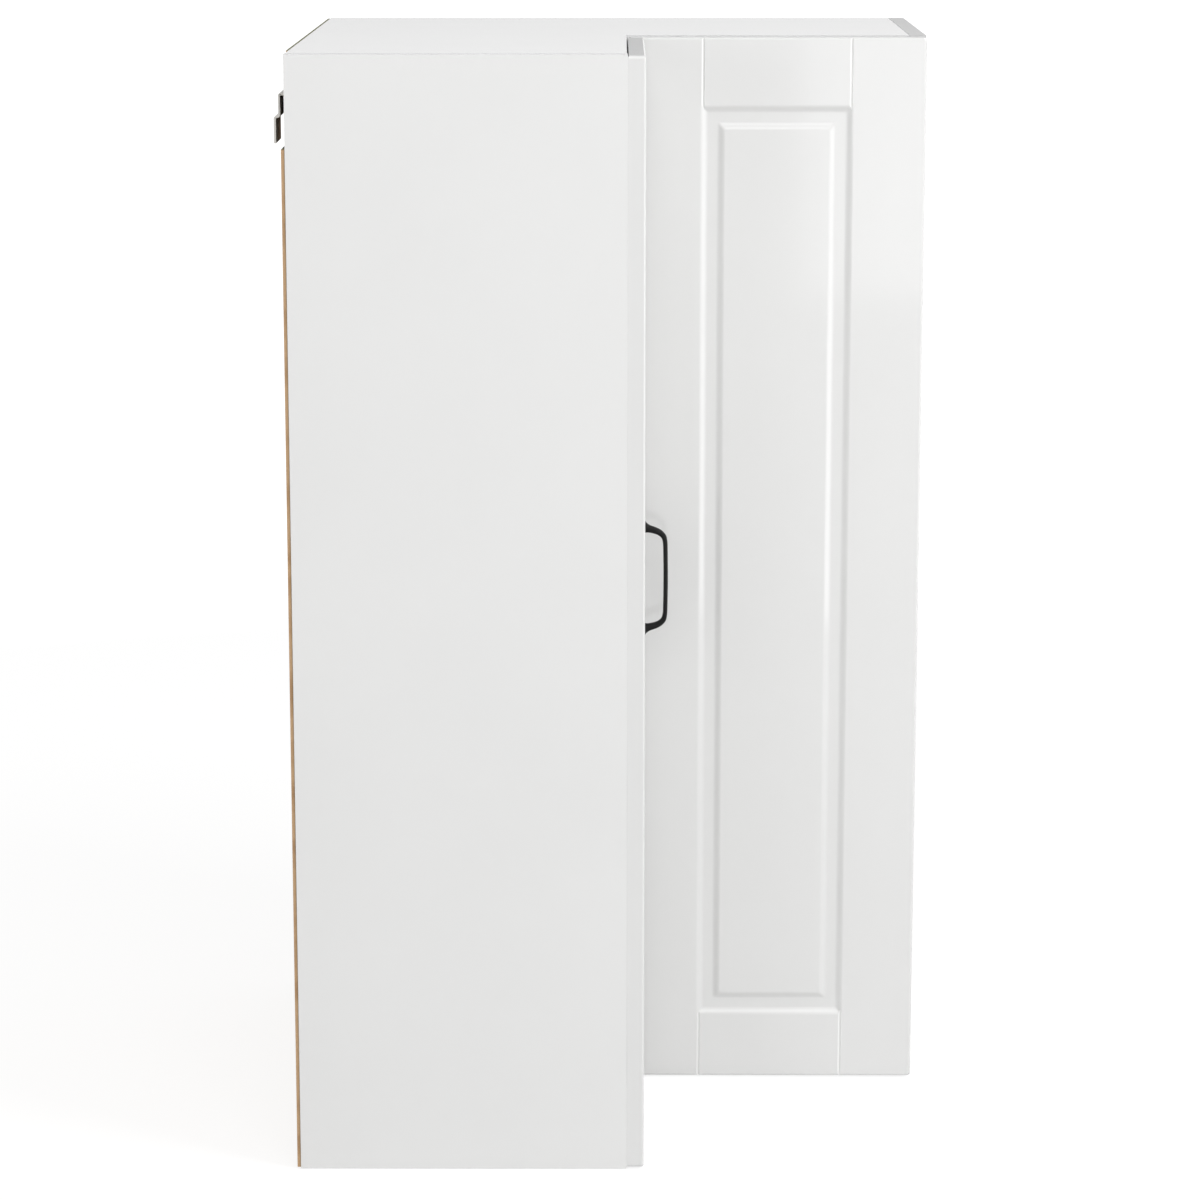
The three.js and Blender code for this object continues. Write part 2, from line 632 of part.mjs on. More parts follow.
function hingeLink() {
  const place = ([x, y]) => new THREE.Vector3(CUP_PIVOT.x + x, CUP_PIVOT.y + y, 0);
  const armEnd = new THREE.Vector3(ARM_PIVOT.x, ARM_PIVOT.y, 0);
  const bends = [place([0, 0]), ...LINK_BENDS.map(place), armEnd];
  const centre = new THREE.CatmullRomCurve3(bends, false, "centripetal");
  const steps = 14;
  const outer = [];
  const inner = [];
  for (let step = 0; step <= steps; step++) {
    const point = centre.getPoint(step / steps);
    const tangent = centre.getTangent(step / steps).multiplyScalar(LINK.strap / 2);
    outer.push([point.x + tangent.y, point.y - tangent.x]);
    inner.push([point.x - tangent.y, point.y + tangent.x]);
  }
  const strap = sweepUp(outline([...outer, ...inner.reverse()]), -LINK.half, LINK.half);
  const armEye = sweepUp(disc(ARM_PIVOT.x, ARM_PIVOT.y, LINK.eyeAtArm), -LINK.half, LINK.half);
  const cupEye = sweepUp(disc(CUP_PIVOT.x, CUP_PIVOT.y, LINK.eyeAtCup), -LINK.half, LINK.half, 12);
  const bore = (pivot, pin) =>
    sweepUp(disc(pivot.x, pivot.y, pin + PIVOT_PLAY), -LINK.half - 1, LINK.half + 1, 12);
  const armBore = bore(ARM_PIVOT, PIVOT_PIN_RADIUS.arm);
  const cupBore = bore(CUP_PIVOT, PIVOT_PIN_RADIUS.cup);
  return cut(join(strap, armEye, cupEye), armBore, cupBore);
}

// The pressed cup with its winged rim, and the pin that the link turns on.
const CUP = { clearance: 0.3, wall: 0.9, rim: 0.7, rimReach: 1.2, wingRadius: 6 };
Object.assign(CUP, { wingSpan: 25, wingFromCentre: 9.5, pinHalf: 9.7 });

function hingeCup() {
  const seat = leftDoorBack - SEAM;
  const face = seat - CUP.rim;
  const floor = seat + CUP_DEPTH - CUP.clearance;
  const radius = CUP_RADIUS - CUP.clearance;
  const wingY = CUP_CENTRE + CUP.wingFromCentre;
  const wings = stadium([wingY, -CUP.wingSpan], [wingY, CUP.wingSpan], CUP.wingRadius);
  const outside = join(
    sweepAlongX(disc(CUP_CENTRE, 0, radius), face, floor, 32),
    sweepAlongX(disc(CUP_CENTRE, 0, CUP_RADIUS + CUP.rimReach), face, seat, 32),
    sweepAlongX(wings, face, seat),
  );
  const hollow = disc(CUP_CENTRE, 0, radius - CUP.wall);
  const shell = cut(outside, sweepAlongX(hollow, face - 1, floor - CUP.wall, 32));
  const pin = disc(CUP_PIVOT.x, CUP_PIVOT.y, PIVOT_PIN_RADIUS.cup);
  return join(shell, sweepUp(pin, -CUP.pinHalf, CUP.pinHalf, 12));
}

// ---------------------------------------------------------------- fold hinges

// How far the leaves reach over each door's back, and the slack around knuckles and corners.
const LEAF_REACH = { left: 32, right: 34 };
const FOLD_SLACK = 0.3;

function knuckle(zLow, zHigh) {
  return sweepUp(disc(FOLD_AXIS.x, FOLD_AXIS.y, KNUCKLE_RADIUS), zLow, zHigh);
}

function knuckleBore() {
  const bore = disc(FOLD_AXIS.x, FOLD_AXIS.y, FOLD_PIN_RADIUS + FOLD_PLAY);
  return sweepUp(bore, -FOLD_LENGTH, FOLD_LENGTH, 12);
}

// The leaf on the left door, with the two outer knuckles.
function foldLeafLeft() {
  const half = FOLD_LENGTH / 2;
  const inner = FOLD_MIDDLE / 2 + FOLD_SLACK;
  const high = leftDoorBack - SEAM;
  const low = high - LEAF;
  const start = LEFT_DOOR_END - LEAF_REACH.left;
  const plan = rectangle(low, start, high, rightDoorBack - 2 * SEAM);
  const relief = rectangle(low - 1, rightDoorBack - 6, high + 1, rightDoorBack + 1);
  const leaf = cut(sweepUp(plan, -half, half), sweepUp(relief, -inner, inner));
  return cut(join(leaf, knuckle(-half, -inner), knuckle(inner, half)), knuckleBore());
}

// The leaf on the right door, with the middle knuckle.
function foldLeafRight() {
  const low = rightDoorBack + SEAM;
  const high = low + LEAF;
  const reach = leftDoorBack + LEAF_REACH.right;
  const tongue = FOLD_MIDDLE / 2;
  const half = FOLD_LENGTH / 2;
  const strap = rectangle(leftDoorBack + 2 * SEAM, low, reach, high);
  const pad = rectangle(leftDoorBack + KNUCKLE_RADIUS * 2, low, reach, high);
  const leaf = join(sweepUp(strap, -tongue, tongue), sweepUp(pad, -half, half));
  return cut(join(leaf, knuckle(-tongue, tongue)), knuckleBore());
}

function foldPin() {
  const half = FOLD_LENGTH / 2 + 0.8;
  return sweepUp(disc(FOLD_AXIS.x, FOLD_AXIS.y, FOLD_PIN_RADIUS), -half, half, 12);
}

function addDoors(cabinet) {
  const links = new THREE.Group();
  const left = new THREE.Group();
  const right = new THREE.Group();
  cabinet.add(links, left, right);
  addPiece(left, "door_left", leftDoor(), WHITE_GLOSS);
  addPiece(right, "door_right", rightDoor(), WHITE_GLOSS);

  const handle = addPiece(left, "handle", bowHandle(), BLACK_METAL);
  handle.position.set(ARM_DEPTH, handleY, HANDLE_HEIGHT);
  for (const [name, side] of [["bottom", -1], ["top", 1]]) {
    const screw = addPiece(left, `handle_screw_${name}`, handleScrew(), ZINC_STEEL);
    const z = HANDLE_HEIGHT + (side * HANDLE_SPACING) / 2;
    screw.position.set(leftDoorBack - SEAM, handleY, z);
  }

  HINGE_HEIGHTS.forEach((z, i) => {
    addPiece(cabinet, `hinge_plate_${i + 1}`, mountingPlate(), NICKEL_STEEL).position.z = z;
    addPiece(cabinet, `hinge_arm_${i + 1}`, hingeArm(), NICKEL_STEEL).position.z = z;
    addPiece(links, `hinge_link_${i + 1}`, hingeLink(), NICKEL_STEEL).position.z = z;
    addPiece(left, `hinge_cup_${i + 1}`, hingeCup(), NICKEL_STEEL).position.z = z;
  });

  FOLD_HEIGHTS.forEach((z, i) => {
    addPiece(left, `fold_leaf_left_${i + 1}`, foldLeafLeft(), NICKEL_STEEL).position.z = z;
    addPiece(left, `fold_pin_${i + 1}`, foldPin(), NICKEL_STEEL).position.z = z;
    addPiece(right, `fold_leaf_right_${i + 1}`, foldLeafRight(), NICKEL_STEEL).position.z = z;
  });
}

// ---------------------------------------------------------------- the cabinet

// The part's origin is at the middle of its footprint, hangers included.
const cabinet = new THREE.Group();
cabinet.position.set(-(ARM - HANGER_REACH) / 2, -(ARM + HANGER_REACH) / 2, 0);
addCarcass(cabinet);
addHangers(cabinet);
addDoors(cabinet);

export default cabinet;
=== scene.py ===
import json
import math

import bmesh
import bpy
from mathutils import Matrix, Vector


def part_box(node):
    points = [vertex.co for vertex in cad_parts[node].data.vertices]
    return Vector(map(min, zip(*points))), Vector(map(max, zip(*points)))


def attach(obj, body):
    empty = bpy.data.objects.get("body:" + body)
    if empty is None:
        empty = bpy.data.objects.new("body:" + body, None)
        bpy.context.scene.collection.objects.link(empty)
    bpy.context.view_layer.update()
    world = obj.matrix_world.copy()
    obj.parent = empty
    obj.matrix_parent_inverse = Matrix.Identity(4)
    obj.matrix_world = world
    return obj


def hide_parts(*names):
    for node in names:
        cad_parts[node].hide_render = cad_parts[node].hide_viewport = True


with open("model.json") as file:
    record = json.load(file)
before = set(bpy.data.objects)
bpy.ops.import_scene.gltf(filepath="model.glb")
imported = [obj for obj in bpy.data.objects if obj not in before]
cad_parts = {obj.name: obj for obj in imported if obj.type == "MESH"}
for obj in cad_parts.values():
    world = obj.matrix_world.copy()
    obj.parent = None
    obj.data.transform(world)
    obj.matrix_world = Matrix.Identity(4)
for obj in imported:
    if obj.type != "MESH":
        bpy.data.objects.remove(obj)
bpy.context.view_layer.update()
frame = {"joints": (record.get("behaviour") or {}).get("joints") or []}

# ---------------------------------------------------------------- camera
# It stands 3.3 m in front of the left end panel and a little above the cabinet's top, and
# looks slightly down, as the photograph does.
SENSOR = 36.0
PHOTO_PIXELS = 1200
FOCAL_PIXELS = 3881
CAMERA_PLACE = (0.0051, -3.6241, 1.212)
LOOK_DOWN = math.radians(11.64)
LOOK_LEFT = math.radians(0.25)

lens = bpy.data.cameras.new("camera")
lens.sensor_width = SENSOR
lens.lens = SENSOR * FOCAL_PIXELS / PHOTO_PIXELS
camera = bpy.data.objects.new("camera", lens)
camera.location = CAMERA_PLACE
camera.rotation_euler = (math.pi / 2 - LOOK_DOWN, 0, LOOK_LEFT)
bpy.context.scene.collection.objects.link(camera)
bpy.context.scene.camera = camera
bpy.context.scene.view_settings.view_transform = "Standard"


# ---------------------------------------------------------------- lamps
# A key lamp high on the right, a low panel beside the camera that shows as the bright patch
# in the right door, a fill lamp on the left, and two soft boxes that shine in the slopes of
# the doors' channels. Metres and watts.
def area_lamp(name, place, aim, width, height, watts):
    light = bpy.data.lights.new(name, "AREA")
    light.shape = "RECTANGLE"
    light.size = width
    light.size_y = height
    light.energy = watts
    holder = bpy.data.objects.new(name, light)
    holder.location = place
    toward = Vector(aim) - Vector(place)
    holder.rotation_euler = toward.to_track_quat("-Z", "Y").to_euler()
    bpy.context.scene.collection.objects.link(holder)


area_lamp("key_lamp", (2.3, -1.5, 2.9), (0, 0, 0.5), 1.3, 1.3, 45)
area_lamp("panel_lamp", (0.85, -3.7, 0.95), (0.85, 0, 0.95), 1.0, 1.3, 4.5)
area_lamp("fill_lamp", (-1.9, -3.4, 1.1), (0, -0.2, 0.4), 1.4, 1.2, 14)
area_lamp("right_box", (1.9, -1.05, 0.45), (0.15, -0.03, 0.45), 1.1, 0.85, 5.4)
area_lamp("top_box", (0.15, -2.0, 2.7), (0.15, -0.03, 0.5), 1.2, 1.3, 12)


# ---------------------------------------------------------------- floor and backdrop
# A pale floor under a white world. Seen directly or in a reflection the floor is white far
# from the cabinet and keeps its shadow near it; its bounced light is a pale matt floor's.
class Value:
    """An output of a shader node. Arithmetic on it adds Math nodes."""

    def __init__(self, finish, socket):
        self.finish = finish
        self.socket = socket

    def maths(self, operation, first, second):
        return self.finish.node("Math", {"operation": operation}, {0: first, 1: second})

    def __add__(self, other):
        return self.maths("ADD", self, other)

    def __mul__(self, other):
        return self.maths("MULTIPLY", self, other)

    def __sub__(self, other):
        return self.maths("SUBTRACT", self, other)

    def __rsub__(self, other):
        return self.maths("SUBTRACT", other, self)

    def __gt__(self, other):
        return self.maths("GREATER_THAN", self, other)

    def either(self, other):
        return self.maths("MAXIMUM", self, other)

    __radd__ = __add__
    __rmul__ = __mul__


class Finish:
    """A node tree that is written as expressions on values."""

    def __init__(self, tree):
        self.tree = tree
        tree.nodes.clear()

    def node(self, kind, settings, sockets, output=0):
        made = self.tree.nodes.new("ShaderNode" + kind)
        for name, setting in settings.items():
            if name == "stops":
                self.set_stops(made.color_ramp, setting)
            else:
                setattr(made, name, setting)
        for name, value in sockets.items():
            if isinstance(value, Value):
                self.tree.links.new(value.socket, made.inputs[name])
            else:
                made.inputs[name].default_value = value
        return Value(self, made.outputs[output]) if len(made.outputs) else None

    def set_stops(self, ramp, stops):
        while len(ramp.elements) < len(stops):
            ramp.elements.new(1)
        for element, (position, colour) in zip(ramp.elements, stops):
            element.position = position
            element.color = colour

    def mix(self, mask, low, high):
        return self.node("Mix", {"data_type": "RGBA"}, {0: mask, 6: low, 7: high}, 2)

    def ramp(self, value, low, high):
        """0 where the value is at or below low, 1 at or above high."""
        sockets = {"Value": value, "From Min": low, "From Max": high}
        return self.node("MapRange", {"clamp": True}, sockets)

    def noise(self, vector, scale, detail=2.0, roughness=0.5):
        sockets = {"Vector": vector, "Scale": scale, "Detail": detail, "Roughness": roughness}
        return self.node("TexNoise", {}, sockets)

    def stretched(self, vector, scale):
        sockets = {0: vector, 1: scale}
        return self.node("VectorMath", {"operation": "MULTIPLY"}, sockets)

    def bump(self, height, strength, distance):
        sockets = {"Height": height, "Strength": strength, "Distance": distance}
        return self.node("Bump", {}, sockets)

    def cells(self, vector, scale):
        """One random grey for each cell of a Voronoi pattern."""
        sockets = {"Vector": vector, "Scale": scale, "Randomness": 1.0}
        colour = self.node("TexVoronoi", {}, sockets, "Color")
        return self.node("SeparateColor", {}, {"Color": colour}, 0)


def grey(level):
    return (level, level, level, 1)


def seen_directly(finish):
    """1 for rays from the camera, from a reflection or through a pane, otherwise 0."""
    path = finish.node("LightPath", {}, {}, "Is Camera Ray")
    glossy = finish.node("LightPath", {}, {}, "Is Glossy Ray")
    through = finish.node("LightPath", {}, {}, "Is Transmission Ray")
    return path.either(glossy).either(through)


AMBIENT = 0.52
BACKDROP = 1.0
FLOOR_SIZE = 120.0
FLOOR_DROP = 0.0008
FLOOR_BOUNCED = 0.78
FLOOR_SHOWN = 0.98
FLOOR_GLOW = 0.7
FLOOR_STRENGTH = 1.16
SHADOW_REACH = (0.9, 2.6)

world = bpy.data.worlds.new("studio")
bpy.context.scene.world = world
world.use_nodes = True
studio = Finish(world.node_tree)
sky = studio.node("Background", {}, {"Color": grey(1), "Strength": AMBIENT})
backdrop = studio.node("Background", {}, {"Color": grey(1), "Strength": BACKDROP})
shown = studio.node("MixShader", {}, {0: seen_directly(studio), 1: sky, 2: backdrop})
studio.node("OutputWorld", {}, {"Surface": shown})

floor_material = bpy.data.materials.new("pale_floor")
floor_material.use_nodes = True
ground = Finish(floor_material.node_tree)
direct = seen_directly(ground)
tone = ground.mix(direct, grey(FLOOR_BOUNCED), grey(FLOOR_SHOWN))
matt = ground.node("BsdfDiffuse", {}, {"Color": tone})
glow = ground.node("Emission", {}, {"Color": grey(1), "Strength": FLOOR_STRENGTH})
place = ground.node("NewGeometry", {}, {}, "Position")
away = ground.node("VectorMath", {"operation": "LENGTH"}, {0: place}, 1)
far = ground.ramp(away, *SHADOW_REACH)
shown = ground.node("MixShader", {}, {0: direct * far.either(FLOOR_GLOW), 1: matt, 2: glow})
ground.node("OutputMaterial", {}, {"Surface": shown})

floor_mesh = bpy.data.meshes.new("floor")
half = FLOOR_SIZE / 2
corners = [(-half, -half, 0), (half, -half, 0), (half, half, 0), (-half, half, 0)]
floor_mesh.from_pydata(corners, [], [(0, 1, 2, 3)])
floor_mesh.materials.append(floor_material)
floor = bpy.data.objects.new("floor", floor_mesh)
floor.location.z = -FLOOR_DROP
bpy.context.scene.collection.objects.link(floor)


# ---------------------------------------------------------------- end panels
# 15 mm particleboard faced in high-gloss white, banded at the front, top and bottom edges
# and raw on the edge that meets the wall. All shapes are drawn in millimetres in plan: X
# along the back wall and Y along the left wall, away from the left end panel's outer face.
MM = 0.001
left_low, left_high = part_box("end_panel_left")
right_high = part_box("end_panel_right")[1]
ARM = (right_high.x - left_low.x) / MM
HEIGHT = (left_high.z - left_low.z) / MM
BOARD = (left_high.y - left_low.y) / MM
SOLID_BAND = 0.5
EDGE_BAND = 0.85
EDGE_EASE = 0.05
FRONT = (left_high.x - left_low.x) / MM - SOLID_BAND
SEAM = 0.2
PLAN = Matrix.Translation((left_low.x, left_low.y, left_low.z)) @ Matrix.Scale(MM, 4)
ACROSS = Matrix(((0, -1, 0, ARM), (-1, 0, 0, ARM), (0, 0, 1, 0), (0, 0, 0, 1)))

# Which of an outline's u, v and level become X, Y and Z, for each axis it is drawn across.
AXIS_TURNS = {"X": (2, 0, 1), "Y": (0, 2, 1), "Z": (0, 1, 2)}


def prism(points, axis, low, high):
    """An outline drawn across one axis, pushed along it from low to high."""
    turn = AXIS_TURNS[axis]
    shape = bmesh.new()
    rings = []
    for level in (low, high):
        corners = [(u, v, level) for u, v in points]
        rings.append([shape.verts.new([corner[i] for i in turn]) for corner in corners])
    for ring in rings:
        shape.faces.new(ring)
    for i in range(len(points)):
        shape.faces.new((rings[0][i - 1], rings[0][i], rings[1][i], rings[1][i - 1]))
    bmesh.ops.recalc_face_normals(shape, faces=shape.faces)
    return shape


def rectangle(u_low, v_low, u_high, v_high):
    return [(u_low, v_low), (u_high, v_low), (u_high, v_high), (u_low, v_high)]


def arc(u, v, radius, start, end, steps):
    """Points on an arc, in degrees, both ends included."""
    angles = [math.radians(start + (end - start) * i / steps) for i in range(steps + 1)]
    return [(u + radius * math.cos(a), v + radius * math.sin(a)) for a in angles]


def disc(u, v, radius, steps=40):
    return arc(u, v, radius, 0, 360, steps)[:-1]


def eased(shape, width, segments=2, above=50):
    """Rounds every edge that turns by more than an angle in degrees."""
    sharp = [e for e in shape.edges if e.calc_face_angle(0) > math.radians(above)]
    bmesh.ops.bevel(
        shape, geom=sharp, offset=width, segments=segments, profile=0.5, affect="EDGES"
    )
    return shape


def mesh_of(shape, name):
    mesh = bpy.data.meshes.new(name)
    shape.to_mesh(mesh)
    shape.free()
    return mesh


def holder_of(shape):
    made = bpy.data.objects.new("blank", mesh_of(shape, "blank"))
    bpy.context.scene.collection.objects.link(made)
    return made


def cut(shape, *tools):
    """The shape less each of the tools."""
    base = holder_of(shape)
    cutters = [holder_of(tool) for tool in tools]
    for cutter in cutters:
        step = base.modifiers.new("cut", "BOOLEAN")
        step.object = cutter
        step.solver = "EXACT"
    result = bmesh.new()
    result.from_object(base, bpy.context.evaluated_depsgraph_get())
    for blank in [base, *cutters]:
        bpy.data.meshes.remove(blank.data)
    return result


def together(*shapes):
    whole = bmesh.new()
    for shape in shapes:
        mesh = mesh_of(shape, "blank")
        whole.from_mesh(mesh)
        bpy.data.meshes.remove(mesh)
    return whole


def across(shape):
    """The same shape on the other arm, mirrored in the diagonal through the room corner."""
    shape.transform(ACROSS)
    bmesh.ops.reverse_faces(shape, faces=shape.faces)
    return shape


def piece(name, shape, body, slot, finishes, *nodes, smooth=35):
    """A named object made of a shape in plan millimetres, which may replace CAD nodes."""
    shape.transform(PLAN)
    mesh = mesh_of(shape, name)
    for finish in finishes:
        mesh.materials.append(finish)
    mesh.shade_smooth()
    mesh.set_sharp_from_angle(angle=math.radians(smooth))
    made = bpy.data.objects.new(name, mesh)
    bpy.context.scene.collection.objects.link(made)
    even = made.modifiers.new("even_normals", "WEIGHTED_NORMAL")
    even.keep_sharp = True
    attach(made, body)
    if nodes:
        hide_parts(*nodes)
    return made


def surface(name, build):
    """A material whose build function returns the sockets of its principled shader."""
    material = bpy.data.materials.new(name)
    material.use_nodes = True
    finish = Finish(material.node_tree)
    spot = finish.node("TexCoord", {}, {}, "Object")
    shader = finish.node("BsdfPrincipled", {}, build(finish, spot))
    finish.node("OutputMaterial", {}, {"Surface": shader})
    return material


def lacquer(level, warmth, roughness, peel):
    """White high-gloss facing: a faint mottle, and an orange peel that ripples reflections."""

    def build(finish, spot):
        mottle = finish.ramp(finish.noise(spot, 7, 3), 0.3, 0.7)
        low = (level * 0.985, level * 0.985, level * 0.985 * warmth, 1)
        high = (level, level, level * warmth, 1)
        ripple = finish.noise(spot, 55, 1) + finish.noise(spot, 260, 2) * 0.25
        wear = finish.noise(spot, 30, 4)
        return {
            "Base Color": finish.mix(mottle, low, high),
            "Roughness": roughness + wear * 0.03,
            "IOR": 1.5,
            "Coat Weight": 0.25,
            "Coat Roughness": 0.03,
            "Normal": finish.bump(ripple, peel, 0.001),
        }

    return build


def banding(level):
    """Matt plastic edge banding with a fine pebble."""

    def build(finish, spot):
        pebble = finish.noise(spot, 1400, 2)
        mottle = finish.noise(spot, 40, 3)
        return {
            "Base Color": finish.mix(mottle, grey(level * 0.95), grey(level * 1.03)),
            "Roughness": 0.5 + pebble * 0.12,
            "Specular IOR Level": 0.25,
            "Normal": finish.bump(pebble, 0.12, 0.0004),
        }

    return build


def chips(finish, spot):
    """Raw moisture-proof particleboard: flattened chips, tinted olive, in a darker binder."""
    shade = finish.cells(spot, 520)
    fine = finish.noise(spot, 2600, 3)
    binder, flat, fresh = (0.13, 0.115, 0.06, 1), (0.28, 0.255, 0.15, 1), (0.47, 0.43, 0.29, 1)
    stops = [(0.0, binder), (0.45, flat), (1.0, fresh)]
    colour = finish.node("ValToRGB", {"stops": stops}, {"Fac": shade * 0.7 + fine * 0.3})
    return {
        "Base Color": colour,
        "Roughness": 0.8 + fine * 0.15,
        "Specular IOR Level": 0.2,
        "Normal": finish.bump(shade * 0.6 + fine * 0.4, 0.6, 0.0006),
    }


board_gloss = surface("white_gloss_facing", lacquer(0.815, 0.992, 0.09, 0.018))
edge_band = surface("white_edge_band", banding(0.79))
# The right end panel's bands are a darker grey copy of the white band: painted shade.
painted_shade_band = surface("painted_shade_edge_band", banding(0.62))
raw_chipboard = surface("raw_chipboard", chips)

PIN_HOLE = 2.5
PIN_PEG = 8
PIN_COLUMNS = [50, FRONT - 45]
SHELVES = {name: (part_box("shelf_" + name)[0].z - left_low.z) / MM for name in ("lower", "upper")}
PIN_RADIUS = 3.4


def pin_level(shelf):
    return SHELVES[shelf] - PIN_RADIUS - SEAM


def end_panel():
    panel = eased(prism(rectangle(0, 0, FRONT + EDGE_BAND, HEIGHT), "Y", 0, BOARD), EDGE_EASE)
    for face in panel.faces:
        toward_wall = face.normal.x < -0.6
        if abs(face.normal.z) > 0.6 or face.normal.x > 0.6:
            face.material_index = 1
        elif toward_wall:
            face.material_index = 2
    drills = [
        prism(disc(x, pin_level(shelf), PIN_HOLE, 24), "Y", BOARD - PIN_PEG - 1, BOARD + 1)
        for shelf in SHELVES
        for x in PIN_COLUMNS
    ]
    return cut(panel, *drills)


# The right panel takes the darker painted-shade band, the left one the white band.
for side, band in (("left", edge_band), ("right", painted_shade_band)):
    panel = across(end_panel()) if side == "right" else end_panel()
    finishes = [board_gloss, band, raw_chipboard]
    node = "end_panel_" + side
    piece(side + "_side_board", panel, "cabinet", "white_gloss_board", finishes, node)


# ---------------------------------------------------------------- top, bottom and shelves
# L-shaped particleboard faced in white, with banded front edges and raw wall-side edges.
# The top board's raw edge is chamfered on the wall side, where it shows as a thin olive
# line. Sockets for the cam fittings are drilled from the inside.
def melamine(finish, spot):
    pearl = finish.noise(spot, 900, 2)
    mottle = finish.noise(spot, 12, 3)
    return {
        "Base Color": finish.mix(mottle, grey(0.78), grey(0.8)),
        "Roughness": 0.22 + pearl * 0.06,
        "IOR": 1.5,
        "Normal": finish.bump(pearl, 0.05, 0.0004),
    }


white_melamine = surface("white_melamine", melamine)

CAM_SOCKET = 7.5
CAM_HEIGHT = 12
CAM_FROM_END = 24
CAM_COLUMNS = [60, FRONT - 60]
CAM_PLACES = [(x, BOARD + CAM_FROM_END) for x in CAM_COLUMNS]
CAM_PLACES += [(ARM - BOARD - CAM_FROM_END, ARM - x) for x in CAM_COLUMNS]
WALL_CHAMFER = 0.4
SHELF_SETBACK = 20
BATTEN = 20


def corner_board(setback, corner_cut, low, chamfer=0):
    near = BOARD + SEAM
    front = FRONT - setback
    points = [(0, near), (front, near), (front, ARM - front), (ARM - near, ARM - front)]
    points += [(ARM - near, ARM), (corner_cut, ARM)]
    if corner_cut:
        points += [(corner_cut, ARM - corner_cut), (0, ARM - corner_cut)]
    board = prism(points, "Z", low, low + BOARD)
    if chamfer:
        along_wall = [
            edge
            for edge in board.edges
            if all(v.co.z > low + 1 for v in edge.verts)
            and (all(v.co.x < 1 for v in edge.verts) or all(v.co.y > ARM - 1 for v in edge.verts))
        ]
        bmesh.ops.bevel(board, geom=along_wall, offset=chamfer, segments=1, affect="EDGES")
    eased(board, 0.3, above=60)
    for face in board.faces:
        middle = face.calc_center_median()
        by_wall = middle.x < chamfer + 0.1 or middle.y > ARM - chamfer - 0.1
        if by_wall and abs(face.normal.z) < 0.9:
            face.material_index = 2
        elif abs(face.normal.z) < 0.6:
            face.material_index = 1
    return board


def drilled_for_cams(board, low, high):
    return cut(board, *[prism(disc(x, y, CAM_SOCKET), "Z", low, high) for x, y in CAM_PLACES])


inner_finishes = [white_melamine, edge_band, raw_chipboard]
top_inside = HEIGHT - BOARD
top_board = corner_board(0, 0, top_inside, WALL_CHAMFER)
top_board = drilled_for_cams(top_board, top_inside - 1, top_inside + CAM_HEIGHT + SEAM)
bottom_board = corner_board(0, 0, 0)
bottom_board = drilled_for_cams(bottom_board, BOARD - CAM_HEIGHT - SEAM, BOARD + 1)
piece("top_board", top_board, "cabinet", "white_inner_board", inner_finishes, "top_panel")
piece("bottom_board", bottom_board, "cabinet", "white_inner_board", inner_finishes, "bottom_panel")
for shelf, underside in SHELVES.items():
    board = corner_board(SHELF_SETBACK, BATTEN + 1, underside)
    node = "shelf_" + shelf
    piece(shelf + "_shelf_board", board, "cabinet", "white_inner_board", inner_finishes, node)


# ---------------------------------------------------------------- back sheets and their nails
# 3 mm hardboard, brown on the wall side and at its sawn edges, white inside, its upper edge
# a darker olive grey. A corner is cut out for the hanger. Round-headed nails hold each sheet.
def hardboard(finish, spot):
    fibre = finish.noise(finish.stretched(spot, (1, 1, 0.35)), 900, 4, 0.7)
    cloud = finish.noise(spot, 9, 3)
    specks = finish.noise(spot, 2100, 1) > 0.68
    colour = finish.mix(finish.ramp(fibre, 0.3, 0.7), (0.33, 0.2, 0.09, 1), (0.5, 0.33, 0.17, 1))
    colour = finish.mix(cloud * 0.3, colour, (0.3, 0.19, 0.1, 1))
    colour = finish.mix(specks * 0.5, colour, (0.16, 0.09, 0.04, 1))
    return {
        "Base Color": colour,
        "Roughness": 0.5 + fibre * 0.2,
        "Specular IOR Level": 0.3,
        "Normal": finish.bump(fibre, 0.25, 0.0003),
    }


def sawn_hardboard(dark, light, burn):
    """A sawn edge: layers of fibre between two colours, browned in places by the blade."""

    def build(finish, spot):
        layers = finish.noise(finish.stretched(spot, (3, 3, 0.6)), 700, 3)
        burns = finish.ramp(finish.noise(spot, 28, 3), 0.48, 0.62)
        return {
            "Base Color": finish.mix(burns * 0.6, finish.mix(layers, dark, light), burn),
            "Roughness": 0.85,
            "Specular IOR Level": 0.15,
            "Normal": finish.bump(layers, 0.5, 0.0005),
        }

    return build


side_cut = sawn_hardboard((0.5, 0.31, 0.17, 1), (0.66, 0.46, 0.28, 1), (0.38, 0.22, 0.11, 1))
# The sheets' upward-facing sawn edges are a darker olive grey than the sawn sides.
top_cut = sawn_hardboard((0.2, 0.2, 0.13, 1), (0.3, 0.3, 0.2, 1), (0.15, 0.14, 0.08, 1))
hardboard_face = surface("hardboard_face", hardboard)
hardboard_edge = surface("hardboard_edge", side_cut)
hardboard_top = surface("olive_grey_hardboard_top_edge", top_cut)
sheet_finishes = [hardboard_face, hardboard_edge, white_melamine, hardboard_top]

SHEET = 3
SHEET_INSET = 1
NOTCH_HEIGHT = 81
NOTCH_WIDTH = 67
NAIL_STEP = 112
NAIL_INSET = 7.5
NAIL_LOWEST = 20
NAIL_HEAD = [(0.6, 0.4), (1.8, 0.1), (1.9, -0.1), (1.4, -0.35), (0.4, -0.45)]


